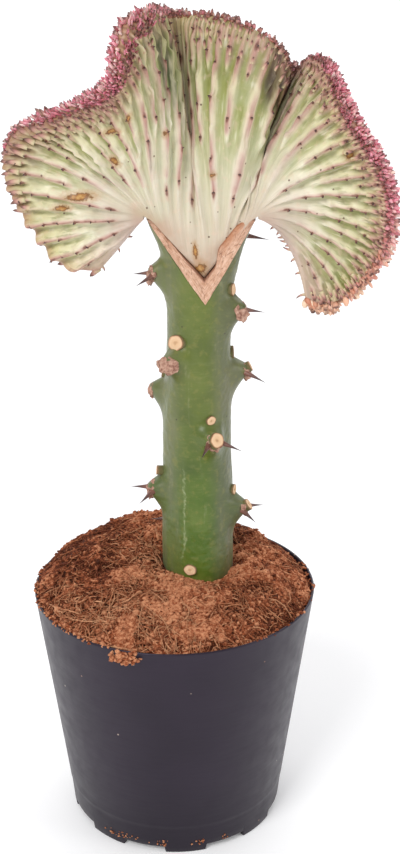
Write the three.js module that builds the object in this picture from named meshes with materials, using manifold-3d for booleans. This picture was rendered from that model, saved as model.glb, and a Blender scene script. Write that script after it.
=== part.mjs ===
// A grafted crested euphorbia in a nursery pot, in millimetres with +Z up.
// The green rootstock stands in coir. A V cut in its head holds the pale crest, a fan that grows along
// its whole pink margin. The front of the plant faces -Y. The origin is on the floor, in the middle of
// the plant's footprint; every dimension below is taken from the pot's own axis instead.
import * as THREE from "three";
import { mergeVertices } from "three/addons/utils/BufferGeometryUtils.js";
import Module from "manifold-3d";

const wasm = await Module();
wasm.setup();

// ---- driving dimensions
const gap = 0.3; // between pieces that touch
const weldDistance = 1e-4; // points closer than this are one point
const potAxisX = -9.45; // from the origin to the pot's axis

const pot = {
  rimRadius: 60,
  height: 106,
  wall: 1.2,
  stepHeight: 15, // the wall steps in below this, for stacking
  stepRadius: 48.2,
  stepSlope: 1, // height and depth of the slope at the step
  footRadius: 46.4,
  footWidth: 2.4,
  floorUnderside: 3.6,
  edge: 0.6, // rounding of the rim and of the feet
  notches: 8, // gaps between the feet
  notchHeight: 2.8,
  notchAngle: 23,
  firstNotch: -106.5, // degrees from +X to the middle of the first gap
  drainHoles: 8,
  drainRadius: 4,
  drainCircle: 34,
  drainSides: 12,
  drainCut: 4, // height of the cutter, centred on the floor's underside
  segments: 64,
};

const soil = {
  bottom: pot.floorUnderside + pot.wall + gap,
  edgeTop: 104.4,
  edgeTilt: 1.6, // the edge stands higher at the left than at the right
  edgeSide: 2, // height of the straight side just under the edge
  moundHeight: 13,
  moundPower: 5, // how late the mound falls off towards the pot's wall
  moundBack: 0.3, // share by which the mound is higher at the back
  heap: { x: -2, y: 26, height: 3.6, width: 26, power: 8 }, // the loose heap behind the stem
  moatDepth: 2.2, // the dip round the stem
  moatWidth: 6,
  stemHole: 15.3, // radius of the hole that the stem stands in
  stemHoleHeight: 80,
  stemHoleSides: 36,
  crumb: 1, // height of the crumbs
  edgeCrumb: 0.4, // share of it at the edge
  swell: 1.1, // height of the slow waves
  swellPower: 4,
  // each wave: radians a millimetre along its axis, how far it sways, and radians a millimetre of the sway
  waveAlongX: [0.16, 1.2, 0.11],
  waveAlongY: [0.19, 0.9, 0.13],
  rings: 12,
  sectors: 60,
};

const stem = {
  x: 10,
  radius: 14.6,
  bottom: 58,
  headTop: 267.6,
  sides: 30,
  buriedRows: [58, 64, 84], // heights of the rings below the soil
  groundRow: 103.8, // and of the first of the close ones
  rowStep: 3.9,
  firstNode: 119, // height of the lowest leaf node, at the soil
  nodeStep: 11.6,
  nodes: 13,
  firstAzimuth: -12, // degrees from the front, towards +X
  divergence: 137.5, // the golden angle between one leaf and the next
  tubercleReach: 6.6,
  tubercleWidth: 4.6,
  shoulder: 3.6, // short slope above a tubercle
  keel: 8, // long slope below it
  keelClear: 3, // the keels run out this far over the soil
  keelFade: 8,
  budRadius: 3.1, // where a side shoot was cut
  budHeight: 1.4,
  budSet: 0.6, // how deep it sits in the tubercle's tip
  budTilt: 32, // degrees over the level
  scarRadius: 2.8, // where a leaf was cut
  scarRise: 8.5,
  scarHeight: 2,
  scarTilt: 8,
  scarOut: 0.2,
  buriedScarRise: 1,
  stubFoot: 1.15, // radius of both kinds of stub at the foot and at the cut face, as shares
  stubFace: 0.9,
  stubSunk: 3,
  stubSides: 8,
  spineLength: 10.5,
  spineRadius: 1.25,
  spineSpread: 42,
  spineDroop: 12,
  spineSunk: 2,
  spineSides: 5,
  spineApart: 0.13, // radians from the node's middle to the root of a spine
  spineBelow: 1.6,
  spineSet: 1.4,
};

// Half width, half depth and centre of the stem by height. The head flares into two wings.
const stemSections = [
  { z: 58, halfWidth: 11.5, halfDepth: 11.5, x: 10 },
  { z: 64, halfWidth: 14, halfDepth: 14, x: 10 },
  { z: 118, halfWidth: 15, halfDepth: 15, x: 10 },
  { z: 150, halfWidth: 14.7, halfDepth: 14.5, x: 9.9 },
  { z: 180, halfWidth: 14, halfDepth: 14, x: 9.6 },
  { z: 212, halfWidth: 13, halfDepth: 13.2, x: 10.3 },
  { z: 230, halfWidth: 12.7, halfDepth: 12.8, x: 10.6 },
  { z: 240, halfWidth: 13.2, halfDepth: 12.6, x: 10.9 },
  { z: 251, halfWidth: 15.5, halfDepth: 11.6, x: 11.2 },
  { z: 260, halfWidth: 18.7, halfDepth: 9.6, x: 11.3 },
  { z: 268, halfWidth: 22.4, halfDepth: 7.4, x: 11.3 },
];

// How single leaf nodes stray from the spiral, in degrees and millimetres, and what they have lost.
const nodeHabits = {
  0: { buried: true },
  2: { turn: 4, rise: 3 },
  3: { turn: -13, petiole: 4.4 },
  5: { turn: 2, rise: 3 },
  6: { turn: 10, rise: 6, size: 1.05, bare: true },
  7: { turn: -8, rise: 3.5, size: 1.15 },
  8: { turn: -9, size: 1.05, bare: true },
  9: { size: 0.85 },
  10: { turn: 14, rise: -3 },
  11: { rise: -1.2, petiole: 0 },
  12: { petiole: 0 },
};

// The V cut in the stem's head, and the band of cork that lines it.
const cut = {
  left: [-10.3, 266.3],
  bottom: [13, 234.4],
  right: [32.8, 266],
  depth: 80, // front to back, more than the stem with its spines
  over: 30, // how far the cut goes on over the head
};
const cork = {
  left: [-8.2, 266.4],
  bottom: [12.6, 243.4],
  right: [30.6, 266.1],
  stations: 24,
  swell: 0.35, // how uneven its front and back are
  reach: 0.96, // share of each arm that it covers
  inset: 0.2, // how far it stays inside the stem's skin
  widest: 0.98, // share of the stem's half width beyond which its depth stays the same
  innerShare: 0.72, // depth of its inner edge at the bottom, as a share of the outer edge's
  tipDepth: 3.4, // and at the tips
  lift: 0.48, // clear of the cut face
};

// Where the ribs of the crest start, just clear of the inner V: x, z and the way they leave, in degrees
// from +Z towards +X. At each tip of the V they fan out from a small arc.
const crestRoot = [
  [-10.6, 266.9, -142],
  [-10.9, 267.6, -100],
  [-10.6, 268.3, -54],
  [-7.5, 266.3, -27],
  [-2.2, 260.4, -18],
  [5.2, 252.2, -10],
  [12.6, 244, 0],
  [19.6, 252.9, 9],
  [26.2, 261.2, 18],
  [30.1, 266.2, 27],
  [33.1, 268.2, 48],
  [33.4, 267.6, 84],
  [33.3, 266.9, 114],
];

// The growing edge of the crest from its lower left tip to its lower right one: x, y, z, the way the ribs
// arrive, and how far they lean to the front, both in degrees.
const crestEdge = [
  [-29.6, 4, 243.6, -138, -14],
  [-43, 6, 246.6, -136, -28],
  [-52.6, 9, 257.4, -118, -37],
  [-60.4, 12, 270.6, -100, -40],
  [-64.6, 11, 285, -86, -35],
  [-60.6, 6, 298.1, -70, -10],
  [-51.8, 2, 302.9, -62, 5],
  [-42.6, -2, 306.2, -55, 10],
  [-34.6, -6, 310.2, -50, 15],
  [-27.7, -12, 314, -48, 25],
  [-22.5, -18, 318.9, -45, 40],
  [-19.4, -24, 325.3, -42, 52],
  [-18, -27, 332.6, -38, 55],
  [-15.6, -25, 339.6, -27, 50],
  [-11, -17, 343.3, -18, 40],
  [-7.2, -6, 343.7, -13, 22],
  [-4, 6, 342.4, -9, 5],
  [0, 14.5, 341, -6, 0],
  [6.5, 13, 340.8, -2, 0],
  [13, 6, 341.3, 1, 0],
  [20.1, 0, 340.5, 6, 0],
  [27.4, -4, 338.8, 12, 0],
  [34, -5.5, 335.6, 18, 0],
  [39.4, -3, 331.2, 22, 0],
  [42.2, 3, 326.4, 25, 0],
  [43.2, 9.5, 322.9, 26, 0],
  [46.4, 13.8, 321.2, 28, 0],
  [52, 14.2, 323.2, 32, 3],
  [56.2, 9.5, 324.8, 38, 10],
  [59.6, 3, 322.8, 44, 25],
  [62, -5, 317.5, 50, 36],
  [65.4, -10.5, 309.8, 55, 38],
  [70.2, -12, 301.6, 61, 35],
  [75.8, -12, 293.8, 68, 33],
  [80.9, -11.5, 284.5, 80, 28],
  [83.8, -9.5, 273.5, 94, 24],
  [84, -6.5, 261.4, 110, 18],
  [80.2, -3.5, 249.4, 126, 12],
  [72.6, 0, 238.6, 144, 8],
  [62.6, 2, 230.6, 160, 3],
  [53, 2, 232, 172, 0],
];

const crest = {
  rootPull: 0.95, // how stiffly ribs leave the root, as a share of their length
  edgePull: 0.85, // and how stiffly they reach the edge
  rootHalfThickness: 7.2,
  midHalfThickness: 4,
  edgeHalfThickness: 2.9,
  mainRibs: 24, // ribs at the root; they split in two twice before the edge
  mainRelief: 2.1,
  splitRelief: 1.8,
  fineRelief: 1.4,
  ribsRise: [0.06, 0.34], // v over which the ribs rise, and over which they split once and again
  firstSplit: [0.42, 0.56],
  secondSplit: [0.68, 0.8],
  toothLength: 0.1, // share of a rib between one tooth and the next
  toothHeight: 0.9,
  toothShift: 0.37, // how far a rib's teeth are out of step with its neighbour's
  teethRise: [0.2, 0.4],
  marginStart: 0.945, // where the pink growing margin begins
  marginGap: 0.009, // share of a rib between the ribbed flesh and the margin
  marginSwell: 0.5,
  leafletReach: 1.9,
  leafletRise: 0.022, // how far leaflets stand over the edge, as a share of a rib
  shoulder: 0.6, // share by which the relief sinks towards the margin
  shoulderStart: 0.86,
  thickRoot: 0.4, // v at which the root's thickness ends
  endTaper: 0.03, // share of the edge over which the sheet thins out at its two ends
  endBluntness: 0.08,
  faceTurn: [0.08, 0.45], // v over which the faces turn from straight forward to square to the sheet
  foldShare: 0.72, // share of the room in a fold that the sheet may fill
  foldMinimum: 0.4,
  foldReach: 0.05,
  foldAhead: 1e-3, // points less far ahead than this don't narrow a fold
};

const colours = {
  pot: 0x3b383f,
  soil: 0x8a4a2e,
  stem: 0x64833f,
  cork: 0xc08a66,
  crest: 0xd3d3ae,
  margin: 0xb65c60,
};

// ---- small helpers
const radians = (degrees) => (degrees * Math.PI) / 180;
const mix = (a, b, share) => a + (b - a) * share;
const smoothstep = (low, high, x) => {
  const t = Math.min(Math.max((x - low) / (high - low), 0), 1);
  return t * t * (3 - 2 * t);
};

// A seeded random number from 0 to 1 for each whole number.
function chance(index, seed) {
  let n = Math.imul(index + 1, 0x9e3779b1) ^ Math.imul(seed + 1, 0x85ebca6b);
  n = Math.imul(n ^ (n >>> 15), 0x2c1b3c6d);
  n = Math.imul(n ^ (n >>> 12), 0x297a2d39);
  return ((n ^ (n >>> 15)) >>> 0) / 4294967296;
}

function geometryOf(points, triangles) {
  const geometry = new THREE.BufferGeometry();
  geometry.setAttribute("position", new THREE.Float32BufferAttribute(points.flat(), 3));
  geometry.setIndex(triangles.flat());
  return geometry;
}

// A closed three.js geometry as a solid that can be joined and cut.
function solidOf(geometry) {
  const bare = geometry.clone();
  bare.deleteAttribute("normal");
  bare.deleteAttribute("uv");
  const merged = mergeVertices(bare, weldDistance);
  const mesh = new wasm.Mesh({
    numProp: 3,
    vertProperties: new Float32Array(merged.attributes.position.array),
    triVerts: new Uint32Array(merged.index.array),
  });
  return new wasm.Manifold(mesh);
}

function geometryOfSolid(solid) {
  const { vertProperties, triVerts } = solid.getMesh();
  const geometry = new THREE.BufferGeometry();
  geometry.setAttribute("position", new THREE.BufferAttribute(new Float32Array(vertProperties), 3));
  geometry.setIndex(new THREE.BufferAttribute(new Uint32Array(triVerts), 1));
  return geometry;
}

function namedMesh(name, geometry, colour, roughness) {
  geometry.computeVertexNormals();
  const material = new THREE.MeshStandardMaterial({ color: colour, roughness, metalness: 0 });
  const mesh = new THREE.Mesh(geometry, material);
  mesh.name = name;
  return mesh;
}

// A closed skin over a stack of rings with equally many points. Two flat fans close the ends.
function stackRings(rings) {
  const points = [];
  const triangles = [];
  const starts = rings.map((ring) => {
    const start = points.length;
    points.push(...ring);
    return start;
  });
  for (let k = 0; k + 1 < rings.length; k += 1) {
    const count = rings[k].length;
    for (let i = 0; i < count; i += 1) {
      const a = starts[k] + i;
      const b = starts[k] + ((i + 1) % count);
      const c = starts[k + 1] + i;
      const d = starts[k + 1] + ((i + 1) % count);
      triangles.push([a, b, d], [a, d, c]);
    }
  }
  const last = rings.length - 1;
  for (const [ring, flip] of [[0, true], [last, false]]) {
    const centre = points.length;
    const count = rings[ring].length;
    const mean = [0, 1, 2].map((axis) => rings[ring].reduce((sum, p) => sum + p[axis], 0) / count);
    points.push(mean);
    for (let i = 0; i < count; i += 1) {
      const a = starts[ring] + i;
      const b = starts[ring] + ((i + 1) % count);
      triangles.push(flip ? [centre, b, a] : [centre, a, b]);
    }
  }
  return geometryOf(points, triangles);
}

// Turns geometry that points along +Z to point along a direction, and moves it to a place.
function placed(geometry, place, direction) {
  const up = new THREE.Vector3(0, 0, 1);
  const turn = new THREE.Quaternion().setFromUnitVectors(up, direction.clone().normalize());
  return geometry.applyQuaternion(turn).translate(place.x, place.y, place.z);
}

// ---- pot
function potWallRadius(z) {
  const rise = (z - pot.stepHeight) / (pot.height - pot.stepHeight);
  return mix(pot.stepRadius, pot.rimRadius, rise);
}

// A sector of a ring that cuts one notch between two feet.
function notchSolid(azimuth) {
  const half = radians(pot.notchAngle) / 2;
  const inner = pot.footRadius - 2 * pot.footWidth;
  const outer = pot.footRadius + 2 * pot.footWidth;
  const shape = new THREE.Shape();
  shape.absarc(0, 0, outer, azimuth - half, azimuth + half, false);
  shape.absarc(0, 0, inner, azimuth + half, azimuth - half, true);
  shape.closePath();
  const below = 1; // the cutter starts under the feet
  const settings = { depth: pot.notchHeight + below, bevelEnabled: false, curveSegments: 4 };
  return solidOf(new THREE.ExtrudeGeometry(shape, settings).translate(0, 0, -below));
}

function makePot() {
  const floorTop = pot.floorUnderside + pot.wall;
  const footInner = pot.footRadius - pot.footWidth;
  const rimUnderside = pot.height - pot.edge;
  const profile = [
    [0, pot.floorUnderside],
    [footInner, pot.floorUnderside],
    [footInner, 0],
    [pot.footRadius - pot.edge, 0],
    [pot.footRadius, pot.edge],
    [pot.stepRadius - pot.stepSlope, pot.stepHeight - pot.stepSlope],
    [pot.stepRadius, pot.stepHeight],
    [potWallRadius(rimUnderside), rimUnderside],
    [pot.rimRadius - pot.edge, pot.height],
    [pot.rimRadius - pot.wall, pot.height],
    [pot.stepRadius - pot.wall, pot.stepHeight + pot.stepSlope],
    [pot.stepRadius - pot.stepSlope - pot.wall, pot.stepHeight - pot.stepSlope],
    [pot.footRadius - pot.wall, floorTop],
    [0, floorTop],
  ];
  const outline = profile.map(([r, z]) => new THREE.Vector2(r, z));
  let body = solidOf(new THREE.LatheGeometry(outline, pot.segments).rotateX(Math.PI / 2));
  if (body.volume() < 0) throw new Error("the pot's profile runs the wrong way");
  for (let i = 0; i < pot.notches; i += 1) {
    body = body.subtract(notchSolid(radians(pot.firstNotch + (i * 360) / pot.notches)));
  }
  for (let i = 0; i < pot.drainHoles; i += 1) {
    const azimuth = (i * 2 * Math.PI) / pot.drainHoles;
    const x = pot.drainCircle * Math.cos(azimuth);
    const y = pot.drainCircle * Math.sin(azimuth);
    const hole = new THREE.CylinderGeometry(pot.drainRadius, pot.drainRadius, pot.drainCut, pot.drainSides);
    hole.rotateX(Math.PI / 2).translate(x, y, pot.floorUnderside);
    body = body.subtract(solidOf(hole));
  }
  return geometryOfSolid(body);
}

// ---- soil
// A wave along one axis that sways with the other.
function swayingWave([pace, sway, swayPace], along, across) {
  return Math.sin(pace * along + sway * Math.sin(swayPace * across));
}

function soilHeight(x, y) {
  const r = Math.hypot(x, y) / (pot.rimRadius - pot.wall);
  const edge = soil.edgeTop - (soil.edgeTilt * x) / pot.rimRadius;
  const back = 1 + (soil.moundBack * y) / pot.rimRadius;
  const mound = soil.moundHeight * (1 - r ** soil.moundPower) * back;
  const fromStem = Math.hypot(x - stem.x, y) - stem.radius;
  const moat = soil.moatDepth * Math.exp(-((fromStem / soil.moatWidth) ** 2));
  const { heap } = soil;
  const fromHeap = Math.hypot(x - heap.x, y - heap.y) / heap.width;
  const heaped = heap.height * Math.exp(-(fromHeap ** 2)) * (1 - r ** heap.power);
  const waves = swayingWave(soil.waveAlongX, x, y) * swayingWave(soil.waveAlongY, y, x);
  return edge + mound + heaped - moat + soil.swell * waves * (1 - r ** soil.swellPower);
}

function makeSoil() {
  const wallAt = (z) => potWallRadius(Math.min(z, pot.height)) - pot.wall - gap;
  const ring = (radiusOf, heightOf) => {
    const points = [];
    for (let i = 0; i < soil.sectors; i += 1) {
      const azimuth = (i * 2 * Math.PI) / soil.sectors;
      const r = radiusOf(i);
      const x = r * Math.cos(azimuth);
      const y = r * Math.sin(azimuth);
      points.push([x, y, heightOf(x, y, i)]);
    }
    return points;
  };
  const clear = 1.5 * gap; // a little more where the wall bends
  const underStep = pot.stepHeight - 1.5 * pot.stepSlope;
  const overStep = pot.stepHeight + 2 * pot.stepSlope;
  const underEdge = soil.edgeTop - soil.edgeSide;
  const rings = [
    ring(() => pot.footRadius - pot.wall - clear, () => soil.bottom),
    ring(() => pot.stepRadius - pot.stepSlope - pot.wall - clear, () => underStep),
    ring(() => wallAt(overStep), () => overStep),
    ring(() => wallAt(underEdge), () => underEdge),
  ];
  const outer = wallAt(soil.edgeTop);
  for (let k = 0; k < soil.rings; k += 1) {
    const r = outer * (1 - k / soil.rings);
    const rough = k === 0 ? soil.edgeCrumb : 1;
    const height = (x, y, i) => soilHeight(x, y) + soil.crumb * rough * (2 * chance(i + 97 * k, 3) - 1);
    rings.push(ring(() => r, height));
  }
  const { stemHole, stemHoleHeight, stemHoleSides } = soil;
  const hole = new THREE.CylinderGeometry(stemHole, stemHole, stemHoleHeight, stemHoleSides);
  hole.rotateX(Math.PI / 2).translate(stem.x, 0, stem.bottom - gap + stemHoleHeight / 2);
  return geometryOfSolid(solidOf(stackRings(rings)).subtract(solidOf(hole)));
}

// ---- stem
function stemSection(z) {
  let k = 0;
  while (k + 2 < stemSections.length && z > stemSections[k + 1].z) k += 1;
  const low = stemSections[k];
  const high = stemSections[k + 1];
  const share = Math.min(Math.max((z - low.z) / (high.z - low.z), 0), 1);
  const at = (key) => mix(low[key], high[key], share);
  return { halfWidth: at("halfWidth"), halfDepth: at("halfDepth"), x: at("x") };
}

// The leaf nodes climb the stem in a spiral. Azimuth is measured from the front towards +X.
function leafNodes() {
  const nodes = [];
  for (let k = 0; k < stem.nodes; k += 1) {
    const { turn = 0, rise = 0, size = 1, ...losses } = nodeHabits[k] ?? {};
    const azimuth = radians(stem.firstAzimuth - stem.divergence * k + turn);
    const z = stem.firstNode + stem.nodeStep * k + rise;
    nodes.push({ azimuth, z, reach: stem.tubercleReach * size, petiole: stem.scarHeight, ...losses });
  }
  return nodes;
}

// How far the tubercles lift the stem's surface: a short shoulder above each node, a long keel below.
function tubercleLift(azimuth, z, nodes) {
  let lift = 0;
  for (const node of nodes) {
    if (node.buried) continue;
    const turn = azimuth - node.azimuth;
    const across = Math.atan2(Math.sin(turn), Math.cos(turn)) * stem.radius;
    const above = z - node.z;
    const slope = above > 0 ? stem.shoulder : stem.keel;
    const low = soil.edgeTop + soil.moundHeight + stem.keelClear;
    const clear = smoothstep(low, low + stem.keelFade, z); // the keel runs out before the soil
    lift += clear * node.reach * Math.exp(-((across / stem.tubercleWidth) ** 2) - (above / slope) ** 2);
  }
  return Math.min(lift, stem.tubercleReach);
}

function stemPoint(azimuth, z, extra) {
  const { halfWidth, halfDepth, x } = stemSection(z);
  return new THREE.Vector3(
    x + (halfWidth + extra) * Math.sin(azimuth),
    -(halfDepth + extra) * Math.cos(azimuth),
    z,
  );
}

function outward(azimuth, rise) {
  const up = radians(rise);
  return new THREE.Vector3(Math.sin(azimuth) * Math.cos(up), -Math.cos(azimuth) * Math.cos(up), Math.sin(up));
}

// A stub that narrows a little to its cut face, sunk into the stem.
function stub(place, direction, radius, height) {
  const { stubFace, stubFoot, stubSunk, stubSides } = stem;
  const face = radius * stubFace;
  const geometry = new THREE.CylinderGeometry(face, radius * stubFoot, height + stubSunk, stubSides);
  geometry.rotateX(Math.PI / 2).translate(0, 0, (height - stubSunk) / 2);
  return placed(geometry, place, direction);
}

function spine(place, direction) {
  const { spineRadius, spineLength, spineSunk, spineSides } = stem;
  const geometry = new THREE.ConeGeometry(spineRadius, spineLength + spineSunk, spineSides);
  geometry.rotateX(Math.PI / 2).translate(0, 0, (spineLength - spineSunk) / 2);
  return placed(geometry, place, direction);
}

function nodeParts(node) {
  const parts = [];
  if (node.petiole > 0) {
    const rise = node.buried ? stem.buriedScarRise : stem.scarRise;
    const place = stemPoint(node.azimuth, node.z + rise, stem.scarOut);
    parts.push(stub(place, outward(node.azimuth, stem.scarTilt), stem.scarRadius, node.petiole));
  }
  if (node.buried) return parts;
  const tip = stemPoint(node.azimuth, node.z, node.reach - stem.budSet);
  parts.push(stub(tip, outward(node.azimuth, stem.budTilt), stem.budRadius, stem.budHeight));
  for (const side of node.bare ? [] : [-1, 1]) {
    const azimuth = node.azimuth + side * radians(stem.spineSpread);
    const beside = node.azimuth + side * stem.spineApart;
    const root = stemPoint(beside, node.z - stem.spineBelow, node.reach - stem.spineSet);
    parts.push(spine(root, outward(azimuth, -stem.spineDroop)));
  }
  return parts;
}

// The wedge of air inside the V cut, up to a height over the head.
function cutPrism(top) {
  const shape = new THREE.Shape();
  const { left, bottom, right, depth } = cut;
  const leftSlope = (left[0] - bottom[0]) / (left[1] - bottom[1]);
  const rightSlope = (right[0] - bottom[0]) / (right[1] - bottom[1]);
  shape.moveTo(bottom[0], bottom[1]);
  shape.lineTo(bottom[0] + rightSlope * (top - bottom[1]), top);
  shape.lineTo(bottom[0] + leftSlope * (top - bottom[1]), top);
  shape.closePath();
  const prism = new THREE.ExtrudeGeometry(shape, { depth, bevelEnabled: false });
  return solidOf(prism.rotateX(Math.PI / 2).translate(0, depth / 2, 0));
}

function stemHeights() {
  const rows = Math.round((stem.headTop - stem.groundRow) / stem.rowStep);
  const close = Array.from({ length: rows + 1 }, (_, k) => mix(stem.groundRow, stem.headTop, k / rows));
  return [...stem.buriedRows, ...close];
}

function makeStem() {
  const nodes = leafNodes();
  const ringAt = (z) => Array.from({ length: stem.sides }, (_, i) => {
    const azimuth = (i * 2 * Math.PI) / stem.sides;
    return stemPoint(azimuth, z, tubercleLift(azimuth, z, nodes)).toArray();
  });
  const rings = stemHeights().map(ringAt);
  let body = solidOf(stackRings(rings));
  for (const node of nodes) {
    for (const part of nodeParts(node)) body = body.add(solidOf(part));
  }
  return geometryOfSolid(body.subtract(cutPrism(stem.headTop + cut.over)));
}

// ---- crest
const edgeCurve = new THREE.CatmullRomCurve3(
  crestEdge.map(([x, y, z]) => new THREE.Vector3(x, y, z)),
  false,
  "centripetal",
);
edgeCurve.arcLengthDivisions = 800; // fine enough for even steps along the edge

// A value between the rows of a table, where t runs from 0 to 1 over all of them: on straight lines, and
// on a smooth curve.
function lineAt(rows, column, t) {
  const place = Math.min(Math.max(t, 0), 1) * (rows.length - 1);
  const k = Math.min(Math.floor(place), rows.length - 2);
  return mix(rows[k][column], rows[k + 1][column], place - k);
}

function curveAt(rows, column, t) {
  const place = Math.min(Math.max(t, 0), 1) * (rows.length - 1);
  const k = Math.min(Math.floor(place), rows.length - 2);
  const at = (i) => rows[Math.min(Math.max(i, 0), rows.length - 1)][column];
  const [a, b, c, d] = [at(k - 1), at(k), at(k + 1), at(k + 2)];
  const s = place - k;
  return b + 0.5 * s * (c - a + s * (2 * a - 5 * b + 4 * c - d + s * (3 * (b - c) + d - a)));
}

function ribDirection(angle, lean) {
  const a = radians(angle);
  const l = radians(lean);
  return new THREE.Vector3(Math.sin(a) * Math.cos(l), -Math.sin(l), Math.cos(a) * Math.cos(l));
}

// The middle of the sheet: u runs along the growing edge, v from the root (0) to the edge (1). Each rib
// is a Hermite curve from the V to the edge.
function crestMiddle(u, v) {
  const root = new THREE.Vector3(lineAt(crestRoot, 0, u), 0, lineAt(crestRoot, 1, u));
  const t = edgeCurve.getUtoTmapping(Math.min(Math.max(u, 0), 1));
  const edge = edgeCurve.getPoint(t);
  const length = root.distanceTo(edge);
  const leaves = ribDirection(curveAt(crestRoot, 2, u), 0).multiplyScalar(length * crest.rootPull);
  const arrives = ribDirection(curveAt(crestEdge, 3, t), curveAt(crestEdge, 4, t));
  arrives.multiplyScalar(length * crest.edgePull);
  const v2 = v * v;
  const v3 = v2 * v;
  return root
    .multiplyScalar(2 * v3 - 3 * v2 + 1)
    .addScaledVector(leaves, v3 - 2 * v2 + v)
    .addScaledVector(edge, 3 * v2 - 2 * v3)
    .addScaledVector(arrives, v3 - v2);
}

// The sheet's normal, on its front. It points straight to the front where the ribs crowd at the root.
function crestNormal(u, v) {
  const du = 0.008; // small steps along the edge and along a rib
  const dv = 0.01;
  const alongU = crestMiddle(Math.min(u + du, 1), v).sub(crestMiddle(Math.max(u - du, 0), v));
  const alongV = crestMiddle(u, Math.min(v + dv, 1)).sub(crestMiddle(u, Math.max(v - dv, 0)));
  const free = alongU.cross(alongV).normalize();
  return new THREE.Vector3(0, -1, 0).lerp(free, smoothstep(...crest.faceTurn, v)).normalize();
}

// How far a face may stand off the sheet's middle at a point before it meets the opposite wall of a fold:
// the radius of the largest ball that rests on the point and holds no other part of the middle.
function foldRoom(point, outwards, middles) {
  let room = Infinity;
  const to = new THREE.Vector3();
  for (const other of middles) {
    const height = to.subVectors(other, point).dot(outwards);
    if (height > crest.foldAhead) room = Math.min(room, to.lengthSq() / (2 * height));
  }
  return Math.max(crest.foldShare * room, crest.foldMinimum);
}

// The height of the ribs, which split in two near v 0.5 and again near v 0.75.
function ribRelief(u, v) {
  const phase = u * crest.mainRibs * 2 * Math.PI;
  const wave = (times) => 0.5 + 0.5 * Math.cos(phase * times);
  const first = smoothstep(...crest.firstSplit, v);
  const second = smoothstep(...crest.secondSplit, v);
  const main = crest.mainRelief * wave(1) * (1 - first);
  const split = crest.splitRelief * wave(2) * first * (1 - second);
  const fine = crest.fineRelief * wave(4) * second;
  return smoothstep(...crest.ribsRise, v) * (main + split + fine);
}

// Teeth rise slowly along a rib and drop behind their tips; neighbours are out of step.
function toothRelief(u, v) {
  const rib = Math.round(u * crest.mainRibs * 4);
  const step = v / crest.toothLength + crest.toothShift * (rib % 3);
  return crest.toothHeight * (step - Math.floor(step)) * smoothstep(...crest.teethRise, v);
}

function halfThickness(u, v) {
  const body = mix(crest.rootHalfThickness, crest.midHalfThickness, smoothstep(0, crest.thickRoot, v));
  const thick = mix(body, crest.edgeHalfThickness, smoothstep(crest.thickRoot, 1, v));
  const fromEnd = Math.min(Math.min(u, 1 - u) / crest.endTaper + crest.endBluntness, 1);
  return thick * Math.sqrt(1 - (1 - fromEnd) ** 2);
}

// Points all along the middle of the sheet, at v and a little to either side of it.
function foldSamples(v) {
  const count = 8 * crest.mainRibs;
  const rows = [v - crest.foldReach, v, v + crest.foldReach].map((near) => Math.min(Math.max(near, 0), 1));
  return rows.flatMap((near) => Array.from({ length: count + 1 }, (_, k) => crestMiddle(k / count, near)));
}

// The front and the back of the sheet at v, each from u 0 to 1. Single points may sit at their own v.
function sheetRing(v, steps, heightOf, ownV = () => v) {
  const samples = foldSamples(v);
  const ring = { front: [], back: [] };
  for (let i = 0; i <= steps; i += 1) {
    const u = i / steps;
    const middle = crestMiddle(u, v);
    const onEdge = crestMiddle(u, ownV(i));
    const normal = crestNormal(u, v);
    for (const side of ["front", "back"]) {
      const outwards = normal.clone().multiplyScalar(side === "front" ? 1 : -1);
      const height = Math.min(heightOf(u, v, i, side), foldRoom(middle, outwards, samples));
      ring[side].push(onEdge.clone().addScaledVector(outwards, height).toArray());
    }
  }
  return ring;
}

// A closed skin over sheet rings. A ring with twice the steps of the one before is joined by three
// triangles a step, and the diagonals run the same way on both faces.
function stackSheet(rings) {
  const points = [];
  const triangles = [];
  const index = rings.map(({ front, back }) => {
    const start = points.length;
    points.push(...front, ...back);
    const steps = front.length - 1;
    return { steps, front: (i) => start + i, back: (i) => start + steps + 1 + i };
  });
  const add = (side, a, b, c) => triangles.push(side === "front" ? [a, b, c] : [a, c, b]);
  for (let k = 0; k + 1 < index.length; k += 1) {
    const low = index[k];
    const high = index[k + 1];
    const ratio = high.steps / low.steps;
    for (const side of ["front", "back"]) {
      for (let i = 0; i < low.steps; i += 1) {
        const [a, b] = [low[side](i), low[side](i + 1)];
        if (ratio === 2) {
          const [c, d, e] = [0, 1, 2].map((j) => high[side](2 * i + j));
          add(side, a, d, c);
          add(side, a, b, d);
          add(side, b, e, d);
        } else {
          const [c, d] = [high[side](i), high[side](i + 1)];
          add(side, a, b, d);
          add(side, a, d, c);
        }
      }
    }
    // the two ends of the sheet
    triangles.push([low.front(0), high.front(0), high.back(0)]);
    triangles.push([low.front(0), high.back(0), low.back(0)]);
    const [m, n] = [low.steps, high.steps];
    triangles.push([low.front(m), high.back(n), high.front(n)]);
    triangles.push([low.front(m), low.back(m), high.back(n)]);
  }
  for (const [ring, flip] of [[index[0], false], [index[index.length - 1], true]]) {
    for (let i = 0; i < ring.steps; i += 1) {
      const quad = [ring.front(i), ring.back(i), ring.back(i + 1), ring.front(i + 1)];
      if (flip) quad.reverse();
      triangles.push([quad[0], quad[1], quad[2]], [quad[0], quad[2], quad[3]]);
    }
  }
  return geometryOf(points, triangles);
}

// Relief dies out at the two ends of the sheet, where it is thin.
function endFade(u) {
  return smoothstep(0, crest.endTaper, Math.min(u, 1 - u));
}

function fleshHeight(u, v) {
  const shoulder = 1 - crest.shoulder * smoothstep(crest.shoulderStart, crest.marginStart, v);
  return halfThickness(u, v) + (ribRelief(u, v) + toothRelief(u, v)) * endFade(u) * shoulder;
}

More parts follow.
